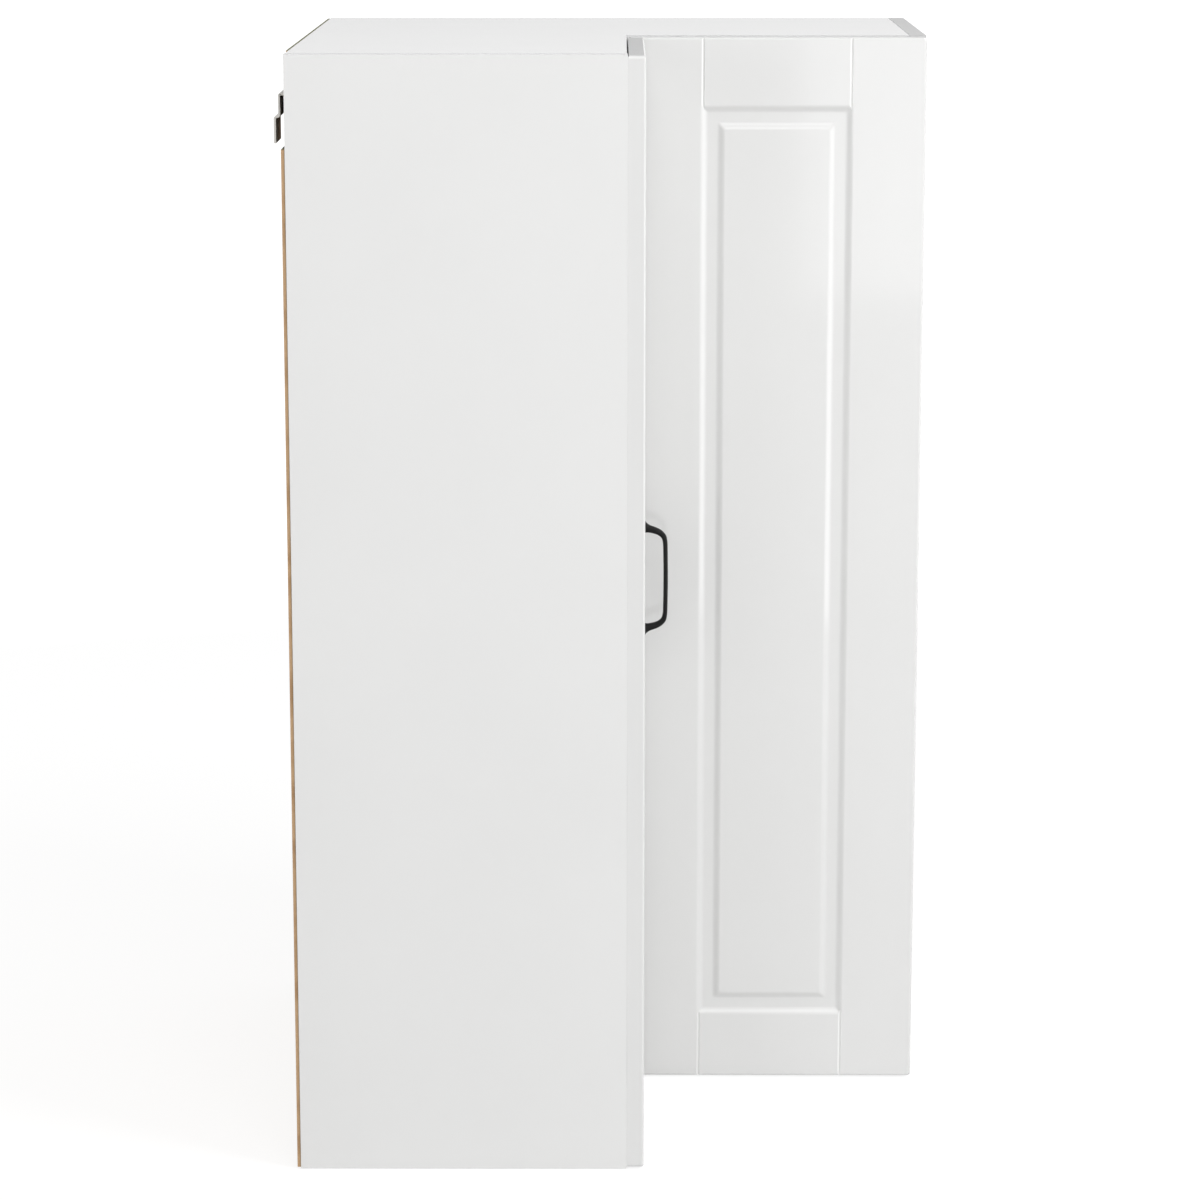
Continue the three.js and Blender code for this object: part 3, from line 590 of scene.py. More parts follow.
def back_sheet(far_end):
    high = HEIGHT - SHEET_INSET
    notch = HEIGHT - NOTCH_HEIGHT
    inside = SHEET_INSET + NOTCH_WIDTH
    points = [(SHEET_INSET, SHEET_INSET), (far_end, SHEET_INSET), (far_end, high)]
    points += [(inside, high), (inside, notch), (SHEET_INSET, notch)]
    sheet = eased(prism(points, "X", -SHEET - SEAM, -SEAM), 0.15, 1)
    for face in sheet.faces:
        if face.normal.x > 0.9:
            face.material_index = 2
        elif face.normal.z > 0.6:
            face.material_index = 3
        elif face.normal.x > -0.9:
            face.material_index = 1
    return sheet


def turned(profile, axis, place, steps=40):
    """A profile of (radius, distance) pairs turned about an axis through a place."""
    turn = AXIS_TURNS[axis]
    shape = bmesh.new()
    rings = []
    for radius, distance in profile:
        ring = []
        for u, v in disc(0, 0, radius, steps):
            offset = (u, v, distance)
            ring.append(shape.verts.new(Vector(place) + Vector([offset[i] for i in turn])))
        rings.append(ring)
    for below, above in zip(rings, rings[1:]):
        for i in range(steps):
            shape.faces.new((below[i - 1], below[i], above[i], above[i - 1]))
    shape.faces.new(rings[0])
    shape.faces.new(rings[-1])
    bmesh.ops.recalc_face_normals(shape, faces=shape.faces)
    return shape


def sheet_nails(far_end):
    face = -SHEET - SEAM
    notch = HEIGHT - NOTCH_HEIGHT
    columns = [y for y in range(round(NAIL_INSET), round(far_end), NAIL_STEP) if y > NOTCH_WIDTH]
    places = [(y, HEIGHT - NAIL_INSET) for y in columns]
    places += [(y, NAIL_INSET) for y in columns]
    places += [(NAIL_INSET, z) for z in range(NAIL_LOWEST, round(notch), NAIL_STEP)]
    far_column = far_end - NAIL_INSET - 2
    places += [(far_column, z) for z in range(NAIL_LOWEST, round(HEIGHT), NAIL_STEP)]
    return together(*[turned(NAIL_HEAD, "X", (face, y, z), 16) for y, z in places])


def zinc(finish, spot):
    """Galvanised steel: a soft spangle of crystals and a dull bloom."""
    spangle = finish.cells(spot, 210)
    bloom = finish.ramp(finish.noise(spot, 70, 4), 0.35, 0.75)
    colour = finish.mix(spangle * 0.5, (0.6, 0.59, 0.57, 1), (0.74, 0.73, 0.7, 1))
    return {
        "Base Color": finish.mix(bloom * 0.35, colour, (0.5, 0.47, 0.42, 1)),
        "Metallic": 0.35,
        "Roughness": 0.38 + spangle * 0.12 + bloom * 0.12,
        "Normal": finish.bump(finish.noise(spot, 1500, 2), 0.08, 0.0004),
    }


# A slot of the record and its finish, for piece.
zinc_steel = ("zinc_steel", [surface("zinc_plated_steel", zinc)])

left_sheet_end = ARM - SEAM
left_sheet = back_sheet(left_sheet_end)
right_sheet = across(back_sheet(ARM + SHEET + SEAM))
piece("left_back_board", left_sheet, "cabinet", "fibreboard", sheet_finishes, "back_sheet_left")
piece("right_back_board", right_sheet, "cabinet", "fibreboard", sheet_finishes, "back_sheet_right")
piece("left_back_nails", sheet_nails(left_sheet_end - 6), "cabinet", *zinc_steel)
piece("right_back_nails", across(sheet_nails(ARM - 6)), "cabinet", *zinc_steel)


# ---------------------------------------------------------------- corner batten
# A planed softwood post in the room corner that carries the inner corner of each shelf. It
# is drilled for one pin under each of them.
def pine(finish, spot):
    wander = finish.noise(finish.stretched(spot, (1, 1, 0.08)), 40, 3)
    along = finish.stretched(spot, (1, 1, 0.03))
    rings = finish.node(
        "TexWave",
        {"wave_type": "RINGS", "rings_direction": "Z"},
        {"Vector": along, "Scale": 95, "Distortion": 2.2, "Detail": 2.0, "Detail Scale": 1.5},
    )
    pores = finish.noise(finish.stretched(spot, (1, 1, 0.04)), 1800, 3)
    colour = finish.mix(rings, (0.66, 0.46, 0.24, 1), (0.78, 0.6, 0.36, 1))
    colour = finish.mix(wander * 0.35, colour, (0.55, 0.36, 0.18, 1))
    return {
        "Base Color": colour,
        "Roughness": 0.55 + pores * 0.2,
        "Specular IOR Level": 0.3,
        "Normal": finish.bump(pores * 0.6 + rings * 0.4, 0.3, 0.0003),
    }


softwood = surface("planed_softwood", pine)
batten_plan = rectangle(SEAM, ARM - BATTEN, BATTEN, ARM - SEAM)
batten = eased(prism(batten_plan, "Z", BOARD + SEAM, HEIGHT - BOARD - SEAM), 1.2, 3)
batten_y = ARM - BATTEN / 2
batten_drills = [
    prism(disc(batten_y, pin_level(shelf), PIN_HOLE, 24), "X", BATTEN - PIN_PEG - 1, BATTEN + 1)
    for shelf in SHELVES
]
batten = cut(batten, *batten_drills)
piece("corner_post", batten, "cabinet", "softwood", [softwood], "corner_batten")


# ---------------------------------------------------------------- shelf pins
# Zinc-plated steel pins pushed into the end panels and the corner post, four and one for
# each shelf. Each has a collar at the board and a domed end.
PIN_REACH = 9
pin_profile = [(1.6, -PIN_PEG), (2.3, -PIN_PEG + 0.7), (2.3, 0), (3.0, 0.01), (PIN_RADIUS, 0.3)]
pin_profile += [(PIN_RADIUS, 1.4), (3.2, 1.6), (3.2, PIN_REACH - 1.6), (2.9, PIN_REACH - 0.6)]
pin_profile += [(2.1, PIN_REACH - 0.1), (0.6, PIN_REACH)]


def backwards(profile):
    return [(radius, -distance) for radius, distance in profile]


inner_face = BOARD + SEAM
for shelf in SHELVES:
    level = pin_level(shelf)
    pins = {}
    for end, x in zip(("back", "front"), PIN_COLUMNS):
        pins["left_" + end] = turned(pin_profile, "Y", (x, inner_face, level))
    for end, x in zip(("back", "front"), PIN_COLUMNS):
        place = (ARM - inner_face, ARM - x, level)
        pins["right_" + end] = turned(backwards(pin_profile), "X", place)
    pins["corner"] = turned(pin_profile, "X", (BATTEN + SEAM, batten_y, level))
    for place, shape in pins.items():
        node = f"shelf_pin_{shelf}_{place}"
        piece(f"{shelf}_pin_{place}", shape, "cabinet", *zinc_steel, node)


# ---------------------------------------------------------------- cam fittings
# Cast zinc discs let into the top and bottom boards. Their open faces have a rim and a cross
# slot for a screwdriver.
CAM_RADIUS = 7.2
CAM_SLOT_REACH = 4.6
CAM_SLOT_HALF = 0.65
CAM_SLOT_DEPTH = 2.4
CAM_NAMES = ["left_back", "left_front", "right_back", "right_front"]


def cross(axis, centre, reach, half, levels):
    """Two crossed bars between two levels, to cut a screwdriver's slots with."""
    u, v = centre
    bars = [rectangle(u - reach, v - half, u + reach, v + half)]
    bars += [rectangle(u - half, v - reach, u + half, v + reach)]
    return [prism(bar, axis, *sorted(levels)) for bar in bars]


def cam_fitting(x, y, face, inward):
    profile = [(CAM_RADIUS - 0.5, CAM_HEIGHT), (CAM_RADIUS, CAM_HEIGHT - 0.5), (CAM_RADIUS, 0.4)]
    profile += [(CAM_RADIUS - 0.4, 0), (CAM_RADIUS - 1.3, 0), (CAM_RADIUS - 1.6, 0.5), (1.0, 0.5)]
    profile = [(radius, distance * inward) for radius, distance in profile]
    levels = (face - inward, face + inward * CAM_SLOT_DEPTH)
    slots = cross("Z", (x, y), CAM_SLOT_REACH, CAM_SLOT_HALF, levels)
    return cut(turned(profile, "Z", (x, y, face), 48), *slots)


for name, (x, y) in zip(CAM_NAMES, CAM_PLACES):
    lower = cam_fitting(x, y, BOARD, -1)
    upper = cam_fitting(x, y, HEIGHT - BOARD, 1)
    piece("bottom_cam_" + name, lower, "cabinet", *zinc_steel, "cam_bottom_" + name)
    piece("top_cam_" + name, upper, "cabinet", *zinc_steel, "cam_top_" + name)


# ---------------------------------------------------------------- hangers
# 2 mm galvanised steel, folded: an ear screwed inside the end panel, a flange out through the
# back sheet's cut-out, and a stepped tongue that drops behind the wall rail.
HANGER_STEEL = 2
HANGER_WIDTH = 50
HANGER_TOP = 966
HANGER_STEP = 944
HANGER_END = 923
HANGER_SLANT = 1.2
HANGER_REACH = 10.2
EAR_BACK = 6
EAR_FRONT = 34
EAR_LOW = 920
EAR_CORNER = 5
BEND = 1.2
SHEET_EASE = 0.3
HANGER_HOLE = 2.2
HANGER_SCREWS = [(14, 932), (27, 952)]
RECESS_REACH = 0.55
RECESS_HALF = 0.45


def thick_line(path, thickness):
    """Outline of a strip along a path. A thickness below zero starts on the other side."""
    sides = ([], [])
    for i, point in enumerate(path):
        along = (path[min(i + 1, len(path) - 1)] - path[max(i - 1, 0)]).normalized()
        aside = Vector((-along.y, along.x)) * thickness / 2
        sides[0].append(tuple(point + aside))
        sides[1].append(tuple(point - aside))
    return sides[0] + sides[1][::-1]


def folded_strip(line, thickness, bend):
    """Outline of a sheet folded along a line of points, with round bends."""
    path = [Vector(line[0])]
    for before, corner, after in zip(line, line[1:], line[2:]):
        corner = Vector(corner)
        enter = corner + (Vector(before) - corner).normalized() * bend
        leave = corner + (Vector(after) - corner).normalized() * bend
        for i in range(7):
            t = i / 6
            path.append(enter * (1 - t) ** 2 + corner * 2 * t * (1 - t) + leave * t * t)
    path.append(Vector(line[-1]))
    return thick_line(path, thickness)


def hanger():
    mid = HANGER_STEEL / 2
    drop = -HANGER_REACH + 5 * mid
    tongue = -HANGER_REACH + mid
    line = [(EAR_FRONT, HANGER_TOP - mid), (drop, HANGER_TOP - mid)]
    line += [(drop, HANGER_STEP + 2 * HANGER_SLANT), (tongue, HANGER_STEP + HANGER_SLANT)]
    line += [(tongue, HANGER_END)]
    near = BOARD + SEAM
    folded = prism(folded_strip(line, HANGER_STEEL, BEND), "Y", near, near + HANGER_WIDTH)
    eased(folded, SHEET_EASE)
    corner_z = EAR_LOW + EAR_CORNER
    ear_points = [(EAR_BACK, HANGER_TOP - 1)]
    ear_points += arc(EAR_BACK + EAR_CORNER, corner_z, EAR_CORNER, 180, 270, 8)
    ear_points += arc(EAR_FRONT - EAR_CORNER, corner_z, EAR_CORNER, 270, 360, 8)
    ear_points += [(EAR_FRONT, HANGER_TOP - 1)]
    ear = eased(prism(ear_points, "Y", near, near + HANGER_STEEL), SHEET_EASE)
    holes = [disc(x, z, HANGER_HOLE, 24) for x, z in HANGER_SCREWS]
    drills = [prism(hole, "Y", near - 1, near + HANGER_STEEL + 1) for hole in holes]
    return together(folded, cut(ear, *drills))


def screw(profile, axis, place, facing, depth):
    """A screw with a cross recess in the head, which faces up (1) or down (-1) the axis."""
    along = "XYZ".index(axis)
    centre = [place[i] for i in range(3) if i != along]
    far = facing * max(facing * distance for radius, distance in profile)
    levels = [place[along] + level for level in (far + facing, far - facing * depth)]
    reach = RECESS_REACH * max(radius for radius, distance in profile)
    recess = cross(axis, centre, reach, RECESS_HALF, levels)
    return cut(turned(profile, axis, place, 32), *recess)


hanger_face = BOARD + SEAM + HANGER_STEEL + SEAM
PAN_HEAD = [(0.3, -12.5), (1.9, -10), (2, 0), (3.9, 0.01), (4, 0.5), (3.7, 1.3), (2.9, 1.95)]
PAN_HEAD += [(1.6, 2.25), (0.4, 2.3)]
piece("left_hanger", hanger(), "cabinet", *zinc_steel, "hanger_left")
piece("right_hanger", across(hanger()), "cabinet", *zinc_steel, "hanger_right")
for i, (x, z) in enumerate(HANGER_SCREWS, 1):
    for side in ("left", "right"):
        shape = screw(PAN_HEAD, "Y", (x, hanger_face, z), 1, 1.4)
        if side == "right":
            shape = across(shape)
        node = f"hanger_screw_{side}_{i}"
        piece(f"{side}_hanger_screw_{i}", shape, "cabinet", *zinc_steel, node)


# ---------------------------------------------------------------- doors
# 15 mm fibreboard, routed and wrapped in high-gloss white foil. A channel with sloping walls
# frames a raised panel, V-grooves with walls of paler foil, a painted highlight, carry the
# stiles' lines to both ends, and the foil ends in a lip on the back. The left door is bored for
# the hinge cups and the handle.
door_gloss = surface("white_gloss_foil", lacquer(0.77, 0.992, 0.06, 0.02))
# Paler copy of the door foil for the groove walls in the rails: a painted highlight.
groove_painted_highlight = surface("painted_highlight_groove_foil", lacquer(0.87, 0.992, 0.06, 0.02))
door_back = surface("white_foil_back", melamine)
# Grey copy of the banding for the left door's top and bottom faces: painted shade.
painted_shade_door_end = surface("grey_foil_end", banding(0.56))

STILE = 67
RAIL = 62
DOOR_ROUND = 2.2
DOOR_CORNER = 3.2
ROUND_STEPS = 8
BACK_EASE = 0.2
CHANNEL_DEPTH = 3
CHANNEL_FLAT = 9.5
CHANNEL_CORNER = 1.3
PANEL_CORNER = 2.0
SLOPE = 6.5
SLOPE_STEPS = 8
SLOPE_CURVE = 0.07
FLAT_RIM = 0.6
GROOVE_WIDTH = 4.4
GROOVE_DEPTH = 1.2
GROOVE_SHALLOW_SIDE = 3
GROOVE_STEEP_SIDE = 2
GROOVE_INTO_SLOPE = 0.6
FOIL_LIP = 0.62
LIP_INSET = 0.02
LIP_CHAMFER = 0.03
LIP_WIDTH = 3
CUP_BORE = 17.5
CUP_DEPTH = 12
CUP_FROM_EDGE = 5
HINGE_HEIGHTS = [110, HEIGHT / 2, 890]
HANDLE_SPACING = 96
HANDLE_HEIGHT = HEIGHT / 2
HANDLE_BORE = 2.25

left_door_low, left_door_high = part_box("door_left")
right_door_low, right_door_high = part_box("door_right")
DOOR_LONGER = 1
DOOR_LOW = (left_door_low.z - left_low.z) / MM - DOOR_LONGER
DOOR_HEIGHT = (left_door_high.z - left_door_low.z) / MM + 2 * DOOR_LONGER
LEFT_DOOR_BACK = (left_door_low.x - left_low.x) / MM
LEFT_DOOR_EDGE = (left_door_low.y - left_low.y) / MM
LEFT_DOOR_WIDTH = (left_door_high.y - left_door_low.y) / MM
RIGHT_DOOR_BACK = (right_door_high.y - left_low.y) / MM
RIGHT_DOOR_EDGE = (right_door_low.x - left_low.x) / MM
RIGHT_DOOR_WIDTH = (right_door_high.x - right_door_low.x) / MM


def door_ring(width, height, side, end, level, radius):
    """A rectangle with round corners on the door's face, drawn in from its sides and ends."""
    left, right = side + radius, width - side - radius
    low, high = end + radius, height - end - radius
    points = []
    for i, centre in enumerate([(right, low), (right, high), (left, high), (left, low)]):
        points += arc(*centre, radius, 90 * i - 90, 90 * i, 6)
    return [(u, v, level) for u, v in points]


def lofted(rings):
    """A skin over rings of equal counts, closed by a face at each end."""
    shape = bmesh.new()
    loops = [[shape.verts.new(point) for point in ring] for ring in rings]
    for below, above in zip(loops, loops[1:]):
        for i in range(len(below)):
            shape.faces.new((below[i - 1], below[i], above[i], above[i - 1]))
    shape.faces.new(loops[0])
    shape.faces.new(loops[-1])
    bmesh.ops.recalc_face_normals(shape, faces=shape.faces)
    return shape


def foil_lip(free_edge, turn):
    """The foil ends in a low lip on the door's back, along the free edge."""
    outline = [(LIP_INSET, 0.3), (LIP_INSET, LIP_CHAMFER - FOIL_LIP)]
    outline += [(LIP_INSET + LIP_CHAMFER, -FOIL_LIP), (LIP_WIDTH - 0.4, -FOIL_LIP)]
    outline += [(LIP_WIDTH, -0.3), (LIP_WIDTH, 0.3)]
    points = [(abs(free_edge - inset), level) for inset, level in outline]
    lip = prism(points, "Y", 1, DOOR_HEIGHT - 1)
    lip.transform(turn)
    return lip


def raised_panel_door(width, height):
    """The door lying in its own frame: U across, V up, W from its back to its face."""
    outer = [(BACK_EASE, 0), (0, BACK_EASE), (0, BOARD - DOOR_ROUND)]
    for i in range(1, ROUND_STEPS + 1):
        angle = math.radians(i * 90 / ROUND_STEPS)
        inset = DOOR_ROUND * (1 - math.cos(angle))
        outer.append((inset, BOARD - DOOR_ROUND + DOOR_ROUND * math.sin(angle)))
    outer.append((DOOR_ROUND + FLAT_RIM, BOARD))
    rings = [door_ring(width, height, inset, inset, level, DOOR_CORNER) for inset, level in outer]
    panel_start = SLOPE + CHANNEL_FLAT
    for start, falls, radius in ((0, True, CHANNEL_CORNER), (panel_start, False, PANEL_CORNER)):
        inner = [(start - FLAT_RIM, BOARD - (0 if falls else CHANNEL_DEPTH))]
        for i in range(SLOPE_STEPS + 1):
            t = i / SLOPE_STEPS
            curve = t - SLOPE_CURVE * math.sin(2 * math.pi * t)
            sunk = CHANNEL_DEPTH * (curve if falls else 1 - curve)
            inner.append((start + SLOPE * t, BOARD - sunk))
        inner.append((start + SLOPE + FLAT_RIM, BOARD - sunk))
        for inset, level in inner:
            rings.append(door_ring(width, height, STILE + inset, RAIL + inset, level, radius))
    door = lofted(rings)
    grooves = []
    inner_end = RAIL + SLOPE * GROOVE_INTO_SLOPE
    for u in (STILE + GROOVE_WIDTH / 2, width - STILE - GROOVE_WIDTH / 2):
        vee = [(u - GROOVE_SHALLOW_SIDE, BOARD + 1), (u + 0.5, BOARD - GROOVE_DEPTH + 0.1)]
        vee += [(u + 0.75, BOARD - GROOVE_DEPTH), (u + GROOVE_STEEP_SIDE, BOARD + 1)]
        for low, high in ((-1, inner_end), (height - inner_end, height + 1)):
            grooves.append(prism(vee, "Y", low, high))
    door = cut(door, *grooves)
    for face in door.faces:
        middle = face.calc_center_median()
        between_stiles = STILE < middle.x < width - STILE
        between_rails = RAIL < middle.y < height - RAIL
        if face.normal.z < -0.9:
            face.material_index = 1
        # Top and bottom faces: on the left door a grey painted shade, on the right door the white
        # band.
        elif abs(face.normal.y) > 0.97 and not 5 < middle.y < height - 5:
            face.material_index = 2
        # Groove walls in the rails take the paler foil, a painted highlight.
        elif abs(face.normal.x) > 0.3 and between_stiles and not between_rails:
            face.material_index = 3
    return door


# The left door stands on edge facing +X, the right door facing -Y.
FACING_RIGHT = Matrix(
    ((0, 0, 1, LEFT_DOOR_BACK), (1, 0, 0, LEFT_DOOR_EDGE), (0, 1, 0, DOOR_LOW), (0, 0, 0, 1))
)
FACING_FRONT = Matrix(
    ((1, 0, 0, RIGHT_DOOR_EDGE), (0, 0, -1, RIGHT_DOOR_BACK), (0, 1, 0, DOOR_LOW), (0, 0, 0, 1))
)

CUP_CENTRE = LEFT_DOOR_EDGE + CUP_FROM_EDGE + CUP_BORE
handle_y = LEFT_DOOR_EDGE + LEFT_DOOR_WIDTH - STILE / 2
handle_levels = [HANDLE_HEIGHT - HANDLE_SPACING / 2, HANDLE_HEIGHT + HANDLE_SPACING / 2]

left_door = raised_panel_door(LEFT_DOOR_WIDTH, DOOR_HEIGHT)
left_door.transform(FACING_RIGHT)
holes = [(disc(CUP_CENTRE, z, CUP_BORE, 64), CUP_DEPTH) for z in HINGE_HEIGHTS]
holes += [(disc(handle_y, z, HANDLE_BORE, 24), BOARD + 1) for z in handle_levels]
bores = [prism(hole, "X", LEFT_DOOR_BACK - 1, LEFT_DOOR_BACK + depth) for hole, depth in holes]
left_door = together(cut(left_door, *bores), foil_lip(0, FACING_RIGHT))
finishes = [door_gloss, door_back, painted_shade_door_end, groove_painted_highlight]
door_slot = "white_gloss_door"
piece("left_door_board", left_door, "left_door", door_slot, finishes, "door_left", smooth=25)

right_door = raised_panel_door(RIGHT_DOOR_WIDTH, DOOR_HEIGHT)
right_door.transform(FACING_FRONT)
right_door = together(right_door, foil_lip(RIGHT_DOOR_WIDTH, FACING_FRONT))
finishes = [door_gloss, door_back, edge_band, groove_painted_highlight]
piece("right_door_board", right_door, "right_door", door_slot, finishes, "door_right", smooth=25)


# ---------------------------------------------------------------- handle
# A die-cast bow in fine matt black powder coat. Its feet flare where they meet the door, and
# two machine screws hold it from the door's back.
def powder_coat(finish, spot):
    grain = finish.noise(spot, 2600, 2)
    rub = finish.ramp(finish.noise(spot, 160, 4), 0.55, 0.8)
    return {
        "Base Color": finish.mix(rub, (0.006, 0.006, 0.006, 1), (0.011, 0.011, 0.011, 1)),
        "Roughness": 0.46 + grain * 0.12 - rub * 0.06,
        "Specular IOR Level": 0.2,
        "Normal": finish.bump(grain, 0.1, 0.0003),
    }


black_coat = surface("matt_black_coat", powder_coat)

# Half of the bow from its foot to the middle of the grip: distance from the door, distance
# from the handle's middle, half the thickness, half the width, tilt of the section in degrees.
BOW = [
    (0.2, 50.6, 7.2, 6.5, 0),
    (0.7, 50.6, 7.2, 6.5, 0),
    (1.0, 50.2, 6.8, 6.2, 0),
    (1.4, 49.3, 5.9, 5.7, 0),
    (2.4, 48.1, 4.8, 5.0, -3),
    (5.0, 46.9, 3.6, 4.5, -12),
    (10.0, 45.5, 3.1, 4.4, -20),
    (15.0, 43.3, 2.8, 4.4, -34),
    (18.8, 39.6, 2.5, 4.4, -62),
    (20.2, 34.5, 2.2, 4.5, -82),
    (20.6, 26.0, 2.1, 4.5, -88),
    (20.9, 0.0, 2.1, 4.5, -90),
]
SQUARENESS = 0.8


def smooth_rows(rows, steps):
    """Extra rows between the given ones, on a Catmull-Rom curve through them."""
    result = []
    for i in range(len(rows) - 1):
        a, b, c, d = (Vector(rows[max(0, min(len(rows) - 1, i + k))]) for k in (-1, 0, 1, 2))
        for step in range(steps):
            t = step / steps
            middle = b * 2 + (c - a) * t + (a * 2 - b * 5 + c * 4 - d) * t**2
            result.append((middle + (b * 3 - a - c * 3 + d) * t**3) / 2)
    return result + [Vector(rows[-1])]


def bow_handle():
    other_half = [(row[0], -row[1], row[2], row[3], -180 - row[4]) for row in BOW[-2::-1]]
    rings = []
    for out, along, thick, wide, tilt in smooth_rows(BOW + other_half, 5):
        turn = math.radians(tilt)
        ring = []
        for u, v in disc(0, 0, 1, 28):
            reach = thick * math.copysign(abs(u) ** SQUARENESS, u)
            aside = wide * math.copysign(abs(v) ** SQUARENESS, v)
            x = LEFT_DOOR_BACK + BOARD + out - reach * math.sin(turn)
            z = HANDLE_HEIGHT + along + reach * math.cos(turn)
            ring.append((x, handle_y + aside, z))
        rings.append(ring)
    return lofted(rings)


piece("bow_grip", bow_handle(), "left_door", "black_handle", [black_coat], "handle", smooth=60)
TRUSS_HEAD = [(0.4, -2.4), (2.0, -2.3), (3.3, -1.8), (3.9, -1.1), (4, -0.2), (3.9, 0), (2, 0.01)]
TRUSS_HEAD += [(2, BOARD + 4.5), (1.6, BOARD + 5.1)]
for end, z in zip(("bottom", "top"), handle_levels):
    shape = screw(TRUSS_HEAD, "X", (LEFT_DOOR_BACK - SEAM, handle_y, z), -1, 1.5)
    node = "handle_screw_" + end
    piece(end + "_handle_screw", shape, "left_door", *zinc_steel, node)


# ---------------------------------------------------------------- concealed hinges
# Three cup hinges of nickel-plated steel. A winged plate is screwed to the end panel, an arm
# of bent sheet clips on it, and a cranked link joins the arm to the cup in the left door.
def nickel(finish, spot):
    brushed = finish.noise(finish.stretched(spot, (1, 1, 14)), 240, 3)
    haze = finish.noise(spot, 90, 4)
    return {
        "Base Color": finish.mix(haze, (0.6, 0.59, 0.57, 1), (0.7, 0.69, 0.67, 1)),
        "Metallic": 1.0,
        "Roughness": 0.17 + brushed * 0.1 + haze * 0.06,
        "Normal": finish.bump(brushed, 0.03, 0.0003),
    }


steel = ("nickel_steel", [surface("nickel_plated_steel", nickel)])

joints = {joint["name"]: joint for joint in frame["joints"]}


def pivot(name):
    """Where a joint's upright axis stands in the plan."""
    x, y = joints[name]["pos_m"][:2]
    return Vector(((x - left_low.x) / MM, (y - left_low.y) / MM))


ARM_PIVOT = pivot("hinge_links_swing")
CUP_PIVOT = pivot("left_door_turn")
PLATE_LINE = FRONT - 37
PLATE_EASE = 0.4
ARM_EYE = 4
SMALL_EASE = 0.25
FLAT_HEAD = [(3.4, 0), (3.4, 0.3), (3.0, 0.8), (2.0, 1.15), (0.5, 1.25)]


def stadium(start, end, radius, steps=12):
    """A bar with round ends between two points."""
    along = math.degrees(math.atan2(end[1] - start[1], end[0] - start[0]))
    points = arc(end[0], end[1], radius, along - 90, along + 90, steps)
    return points + arc(start[0], start[1], radius, along + 90, along + 270, steps)


def lifted(shape, z):
    shape.transform(Matrix.Translation((0, 0, z)))
    return shape


def mounting_plate():
    face = BOARD + SEAM
    wings = prism(stadium((PLATE_LINE, -20), (PLATE_LINE, 20), 6), "Y", face, face + 1.8)
    foot = prism(rectangle(PLATE_LINE - 14, -7, PLATE_LINE + 20, 7), "Y", face, face + 1.75)
    rail_points = [(PLATE_LINE - 12, face + 0.5), (PLATE_LINE + 18, face + 0.5)]
    rail_points += [(PLATE_LINE + 16, face + 5), (PLATE_LINE - 12, face + 5)]
    rail = prism(rail_points, "Z", -4.5, 4.5)
    heads = [screw(FLAT_HEAD, "Y", (PLATE_LINE, face + 1.7, z), 1, 0.9) for z in (-16, 16)]
    return together(*[eased(shape, PLATE_EASE) for shape in (wings, foot, rail)], *heads)


def hinge_arm():
    x, y = ARM_PIVOT
    back = PLATE_LINE - 20
    low = BOARD + SEAM + 2.3
    lid = [(PLATE_LINE + 12, y - 1), (PLATE_LINE + 2, low + 7.2), (back, low + 7.2)]
    side = [(back, low), (PLATE_LINE + 10, low), (x, y - ARM_EYE)]
    side += arc(x, y, ARM_EYE, -90, 90, 16)[1:] + lid
    web = [(back, low + 6), (PLATE_LINE + 2.4, low + 6), (PLATE_LINE + 12.6, y - 2.3)]
    web += [(x - 6, y + 1.4), (x - 6, y + 2.8)] + lid
    cheeks = [eased(prism(side, "Z", z, z + 1.2), SMALL_EASE, above=60) for z in (-7, 5.8)]
    half_pin = [(1.5, 7.1), (2.2, 7.1), (2.2, 7.7), (1.3, 7.9)]
    rivet = turned(backwards(half_pin)[::-1] + half_pin, "Z", (x, y, 0), 32)
    cover = eased(prism(web, "Z", -6.95, 6.95), SMALL_EASE)
    places = [(PLATE_LINE + dx, low + 7.15, 0) for dx in (-13, -3)]
    heads = [screw(FLAT_HEAD, "Y", place, 1, 0.9) for place in places]
    return together(cover, *cheeks, rivet, *heads)


LINK_BENDS = [(5.1, 3.1), (3.1, 7.8), (1.1, 12.5)]
LINK_STEEL = 2.5
LINK_EYES = [(ARM_PIVOT, 3.3, 1.75), (CUP_PIVOT, 2.2, 1.25)]


def hinge_link():
    """A strap along a curve through the bends, with a bored eye at each pivot."""
    ends = [CUP_PIVOT] + [CUP_PIVOT + Vector(bend) for bend in LINK_BENDS] + [ARM_PIVOT]
    outline = thick_line(smooth_rows(ends, 6), -LINK_STEEL)
    strap = eased(prism(outline, "Z", -3.45, 3.45), SMALL_EASE, above=60)
    eyes = []
    for centre, radius, bore in LINK_EYES:
        strap = cut(strap, prism(disc(*centre, bore, 24), "Z", -5, 5))
        eye = eased(prism(disc(*centre, radius, 32), "Z", -3.5, 3.5), SMALL_EASE, above=60)
        eyes.append(cut(eye, prism(disc(*centre, bore, 24), "Z", -5, 5)))
    return together(strap, *eyes)


CUP_FLANGE = 0.4
CUP_WALL = 1.1


